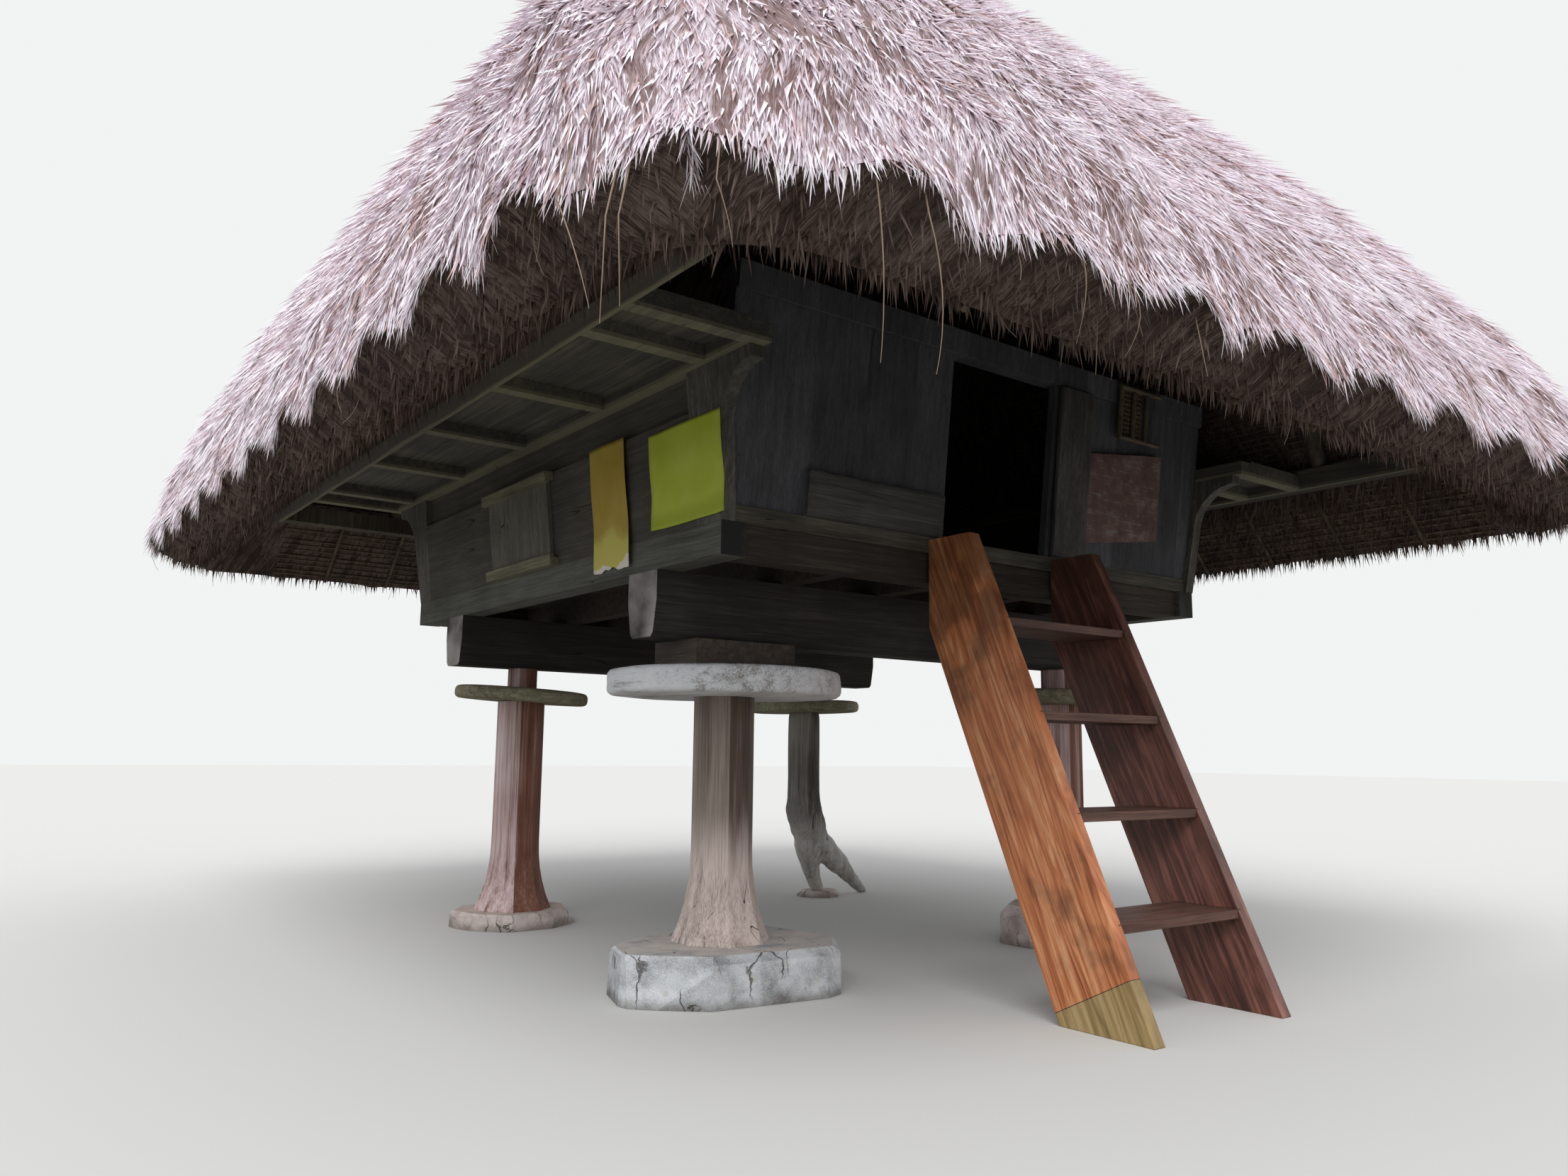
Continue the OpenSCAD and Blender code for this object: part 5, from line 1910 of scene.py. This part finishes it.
@dataclass
class Carpentry:
    """Finishes of all timber pieces."""

    def build(self) -> None:
        """Make the finishes and dress the nodes."""
        self.posts()
        self.beams()
        self.walls()
        self.eaves()
        self.ladder()

    def posts(self) -> None:
        """Dress the posts and the block."""
        post = Timber("adzed_post", "#543227", "#8a5c4b", "#b18a79", Axis.Z, lit_side_colour="#e8d2d3",
                      run=0.35, fibre=0.005).make()
        near = Timber("bleached_foot_post", "#40342d", "#66574c", "#8d8075", Axis.Z, lit_side_colour="#a79a92",
                      lower_colour="#dccbc4", lower_level=0.62, lower_blur=0.14, run=0.35, fibre=0.005).make()
        block = Timber("smoked_block", "#2d2622", "#4d433b", "#6e635a", Axis.Y).make()
        dress(post, "post_fr", "post_bl")
        dress(near, "post_fl")
        dress(block, "head_block")

    def beams(self) -> None:
        """Dress the girders, sills, floor and rafters."""
        girder = Timber("smoked_girder", "#1d1b1b", "#302d2c", "#4b4745", Axis.X, end_colour="#b3aeac").make()
        sill = Timber("adzed_sill", "#3d3d39", "#5b5c57", "#777870", Axis.Y, end_colour="#252425").make()
        frame_x = Timber("smoked_floor", "#1f1b18", "#38312b", "#574d44", Axis.X).make()
        pole = Timber("smoked_pole", "#2b2621", "#4f463c", "#766a5b", Axis.Z).make()
        dress(girder, "girder_front", "girder_back")
        dress(sill, "sill_left", "sill_right")
        dress(frame_x, "floor_frame", "floor_boards")
        dress(pole, "rafters_front", "rafters_back", "rafters_left", "rafters_right", "ridge_pole")

    def walls(self) -> None:
        """Dress the planks, corner boards, rails and shutter."""
        side = Timber("side_plank", "#343330", "#494740", "#625f56", Axis.Y).make()
        front = Timber("front_plank", "#38393e", "#4e5056", "#65676e", Axis.Z, board=0.283).make()
        corner = Timber("corner_board", "#32322f", "#575651", "#817f76", Axis.Z).make()
        rail = Timber("weathered_rail", "#2f2d28", "#4f4c43", "#777365", Axis.X).make()
        cleat = Timber("pale_cleat", "#454537", "#72705b", "#9c987d", Axis.Y).make()
        shutter = Timber("shutter_board", "#494942", "#66655b", "#828075", Axis.Z, run=0.3).make()
        dress(side, "wall_left", "wall_right")
        dress(front, "wall_back", "wall_front_left", "wall_front_right", "head_front")
        dress(corner, "corners_left", "corners_right")
        dress(rail, "rail_front")
        dress(cleat, "shutter_rails")
        dress(shutter, "shutter")

    def eaves(self) -> None:
        """Dress the coffered eaves: dark panels, paler members that stand out below them, and painted shade
        at the boards' outer ends beside the thatch.
        """
        eave = Timber("eave_board", "#31312f", "#4f4e48", "#73705f", Axis.Y, run=0.3,
                      lower_colour="#7f7d66", lower_level=2.5155, shade_past=2.16).make()
        dress(eave, "eave_left", "eave_right")

    def ladder(self) -> None:
        """Dress the ladder."""
        lean = math.radians(23.5)
        worn = VarnishedPlank("varnished_stringer", "#914e2b", "#cd7c4b", "#e8a97a", lean,
                              scarf_height=-1.132, scarf_slope=0.505).make()
        plain = VarnishedPlank("dark_stringer", "#442622", "#6d4238", "#966457", lean).make()
        tread = Timber("worn_tread", "#38241e", "#5f4036", "#866354", Axis.X, rough=0.6, cracks=0.2).make()
        dress(worn, "stringer_left")
        dress(plain, "stringer_right")
        dress(tread, "treads")


@dataclass
class Fittings:
    """Boards, sheets and footing stones."""

    def build(self) -> None:
        """Make the fittings."""
        grey_stone = FieldStone("grey_field_stone", "#8a8b8d", "#cfd2d6", "#eef0f4").make()
        brown_stone = FieldStone("earthy_field_stone", "#ab9c96", "#e3d5d0", "#f6edea").make()
        RoughStone("stone_fl", grey_stone, 1, 11, 0.035).build()
        RoughStone("stone_fr", brown_stone, 2).build()
        RoughStone("stone_bl", brown_stone, 3, deepest=0.03).build()
        RoughStone("stone_br", brown_stone, 4, 9, 0.015).build()
        grey = Timber("grey_post", "#34302c", "#5d5852", "#8b8680", Axis.Z, lit_side_colour="#a5a19b", run=0.3,
                      lower_colour="#d4d0cb", lower_level=0.5, lower_blur=0.12).make()
        RootedPost("post_br", grey).build()
        pale = Timber("silvered_disc", "#83776d", "#e6eaef", "#f8f9fb", Axis.Y, run=0.1, fibre=0.007,
                      cracks=0.1).make()
        olive = Timber("mossy_disc", "#4c4838", "#8b866f", "#bbb89d", Axis.X).make()
        WornDisc("guard_fl", pale, wear=0.03).build()
        WornDisc("guard_bl", olive, math.radians(3.2), 2).build()
        WornDisc("guard_fr", olive, math.radians(1.0), 3).build()
        WornDisc("guard_br", olive, math.radians(-1.0), 4).build()
        front = WallPlane(Side.FRONT, ("wall_front_left", "wall_front_right", "rail_front", "corners_right"))
        left = WallPlane(Side.LEFT, ("wall_left", "corners_left", "sill_left"), half=1.55)
        board = Timber("nailed_board", "#2b2b2b", "#4a4a4a", "#6e6d6a", Axis.X).make()
        upright = Timber("door_board", "#2b2b2b", "#4b4a4a", "#6d6b6a", Axis.Z).make()
        paint = WornPaint("worn_red_paint", "#634a49", "#8a6e6b", "#8f8885").make()
        WallBoard("skirting_board", front, (-1.145, 1.955), (-0.376, 2.14), 0.018, board, 3).build()
        WallBoard("door_board", front, (0.37, 1.96), (0.61, 2.79), 0.02, upright, 5).build()
        WallBoard("painted_board", front, (0.49, 2.08), (1.19, 2.53), 0.016, paint, 8, 0.13).build()
        yellow = BarePaper("yellow_paper", "#b89c36", "#c9b250", "#e0da72", 1.89, 1.822).make()
        lime = BarePaper("lime_paper", "#bfd33a", "#cfdd58", "#a6b92e", 1.9).make()
        PaperSheet("narrow_sheet", left, (-0.99, 1.785), (-0.67, 2.35), yellow, torn=True).build()
        PaperSheet("wide_sheet", left, (-1.725, 1.91), (-1.18, 2.31), lime).build()


@dataclass
class WovenPanel:
    """Two panes of plaited bamboo strips beside a dark bar, high on the front wall by the doorway."""

    sweep: GuideSweep
    plane: WallPlane
    strip: Material
    bar: Material
    low: tuple[float, float] = (0.82, 2.63)
    high: tuple[float, float] = (1.01, 2.87)
    pitch: float = 0.024
    lift: float = 0.004
    strip_thick: float = 0.015
    strip_seat: float = 0.009
    bar_thick: float = 0.028
    bar_seat: float = 0.016

    def build(self) -> None:
        """Plait the strips and nail the bars over them."""
        seat = self.plane.clearance(self.low, self.high) + self.strip_seat
        (a0, z0), (a1, z1) = self.low, self.high
        across, upright = int((a1 - a0) / self.pitch) + 1, int((z1 - z0) / self.pitch) + 1
        lines = [[self.crossing(i, j, seat, 1) for j in range(upright)] for i in range(across)]
        lines += [[self.crossing(i, j, seat, -1) for i in range(across)] for j in range(upright)]
        settle(self.sweep.run("woven_panel", lines, self.strip_thick, 6, 0.0, self.strip), "wall_wood")
        seat += self.bar_seat
        bars = []
        for along in (a0 - 0.01, (a0 + a1) / 2, a1 + 0.01):
            bars.append([self.plane.point(along, z0 - 0.02 + 0.05 * k, seat) for k in range(6)])
        for height in (z0 - 0.012, z1 + 0.006):
            bars.append([self.plane.point(a0 - 0.02 + 0.066 * k, height, seat) for k in range(6)])
        settle(self.sweep.run("panel_bars", bars, self.bar_thick, 8, 0.06, self.bar), "dark_wood")

    def crossing(self, i: int, j: int, seat: float, way: int) -> Vector:
        """Point of a strip where it passes over or under another one.

        Args:
            i: Number of the upright strip.
            j: Number of the level strip.
            seat: Distance of the panel outside the wall.
            way: 1 for an upright strip, -1 for a level one.

        Returns:
            The point.
        """
        proud = seat + way * self.lift * (-1) ** (i + j)
        return self.plane.point(self.low[0] + i * self.pitch, self.low[1] + j * self.pitch, proud)


def main() -> None:
    """Build the scene's classes in order."""
    logging.basicConfig(level=logging.INFO, format="%(name)s %(message)s")
    Viewpoint().build()
    Studio().build()
    Carpentry().build()
    Fittings().build()
    shell = MattedGrass("matted_grass", "#7f625c", "#cdbac3", "#f2e9f2").make()
    under = MattedGrass("smoked_thatch", "#3b302d", "#63544f", "#84756f", relief=0.004).make()
    blade = DryBlade("bleached_blade", "#8c6b63", "#c6a8a5", "#efdfe9", "#faf1fb", "#fdfaff").make()
    strand = DryBlade("sheltered_strand", "#332724", "#4e3e39", "#5c4b45", "#685750", "#7a6a62").make()
    thatch = Thatch(shell, under, blade, strand)
    thatch.build()
    RidgeBundle(shell, blade, thatch.spread).build()
    sweep = GuideSweep()
    reed = SplitCane("smoked_reed", "#4b3f31", "#7d6d57").make()
    bamboo = SplitCane("smoked_bamboo", "#43392d", "#6d5f4c").make()
    ReedLaths(sweep, reed, bamboo).build()
    front = WallPlane(Side.FRONT, ("wall_front_left", "wall_front_right", "head_front"))
    plait = SplitCane("plaited_cane", "#43382c", "#6a5a45").make()
    WovenPanel(sweep, front, plait, bamboo).build()
    straw = DryBlade("loose_straw", "#8f7d6c", "#a08c78", "#b5a595", "#c9bdb0", "#d9cfc4").make()
    LooseStraws(sweep, straw).build()


if __name__ == "__main__":
    main()
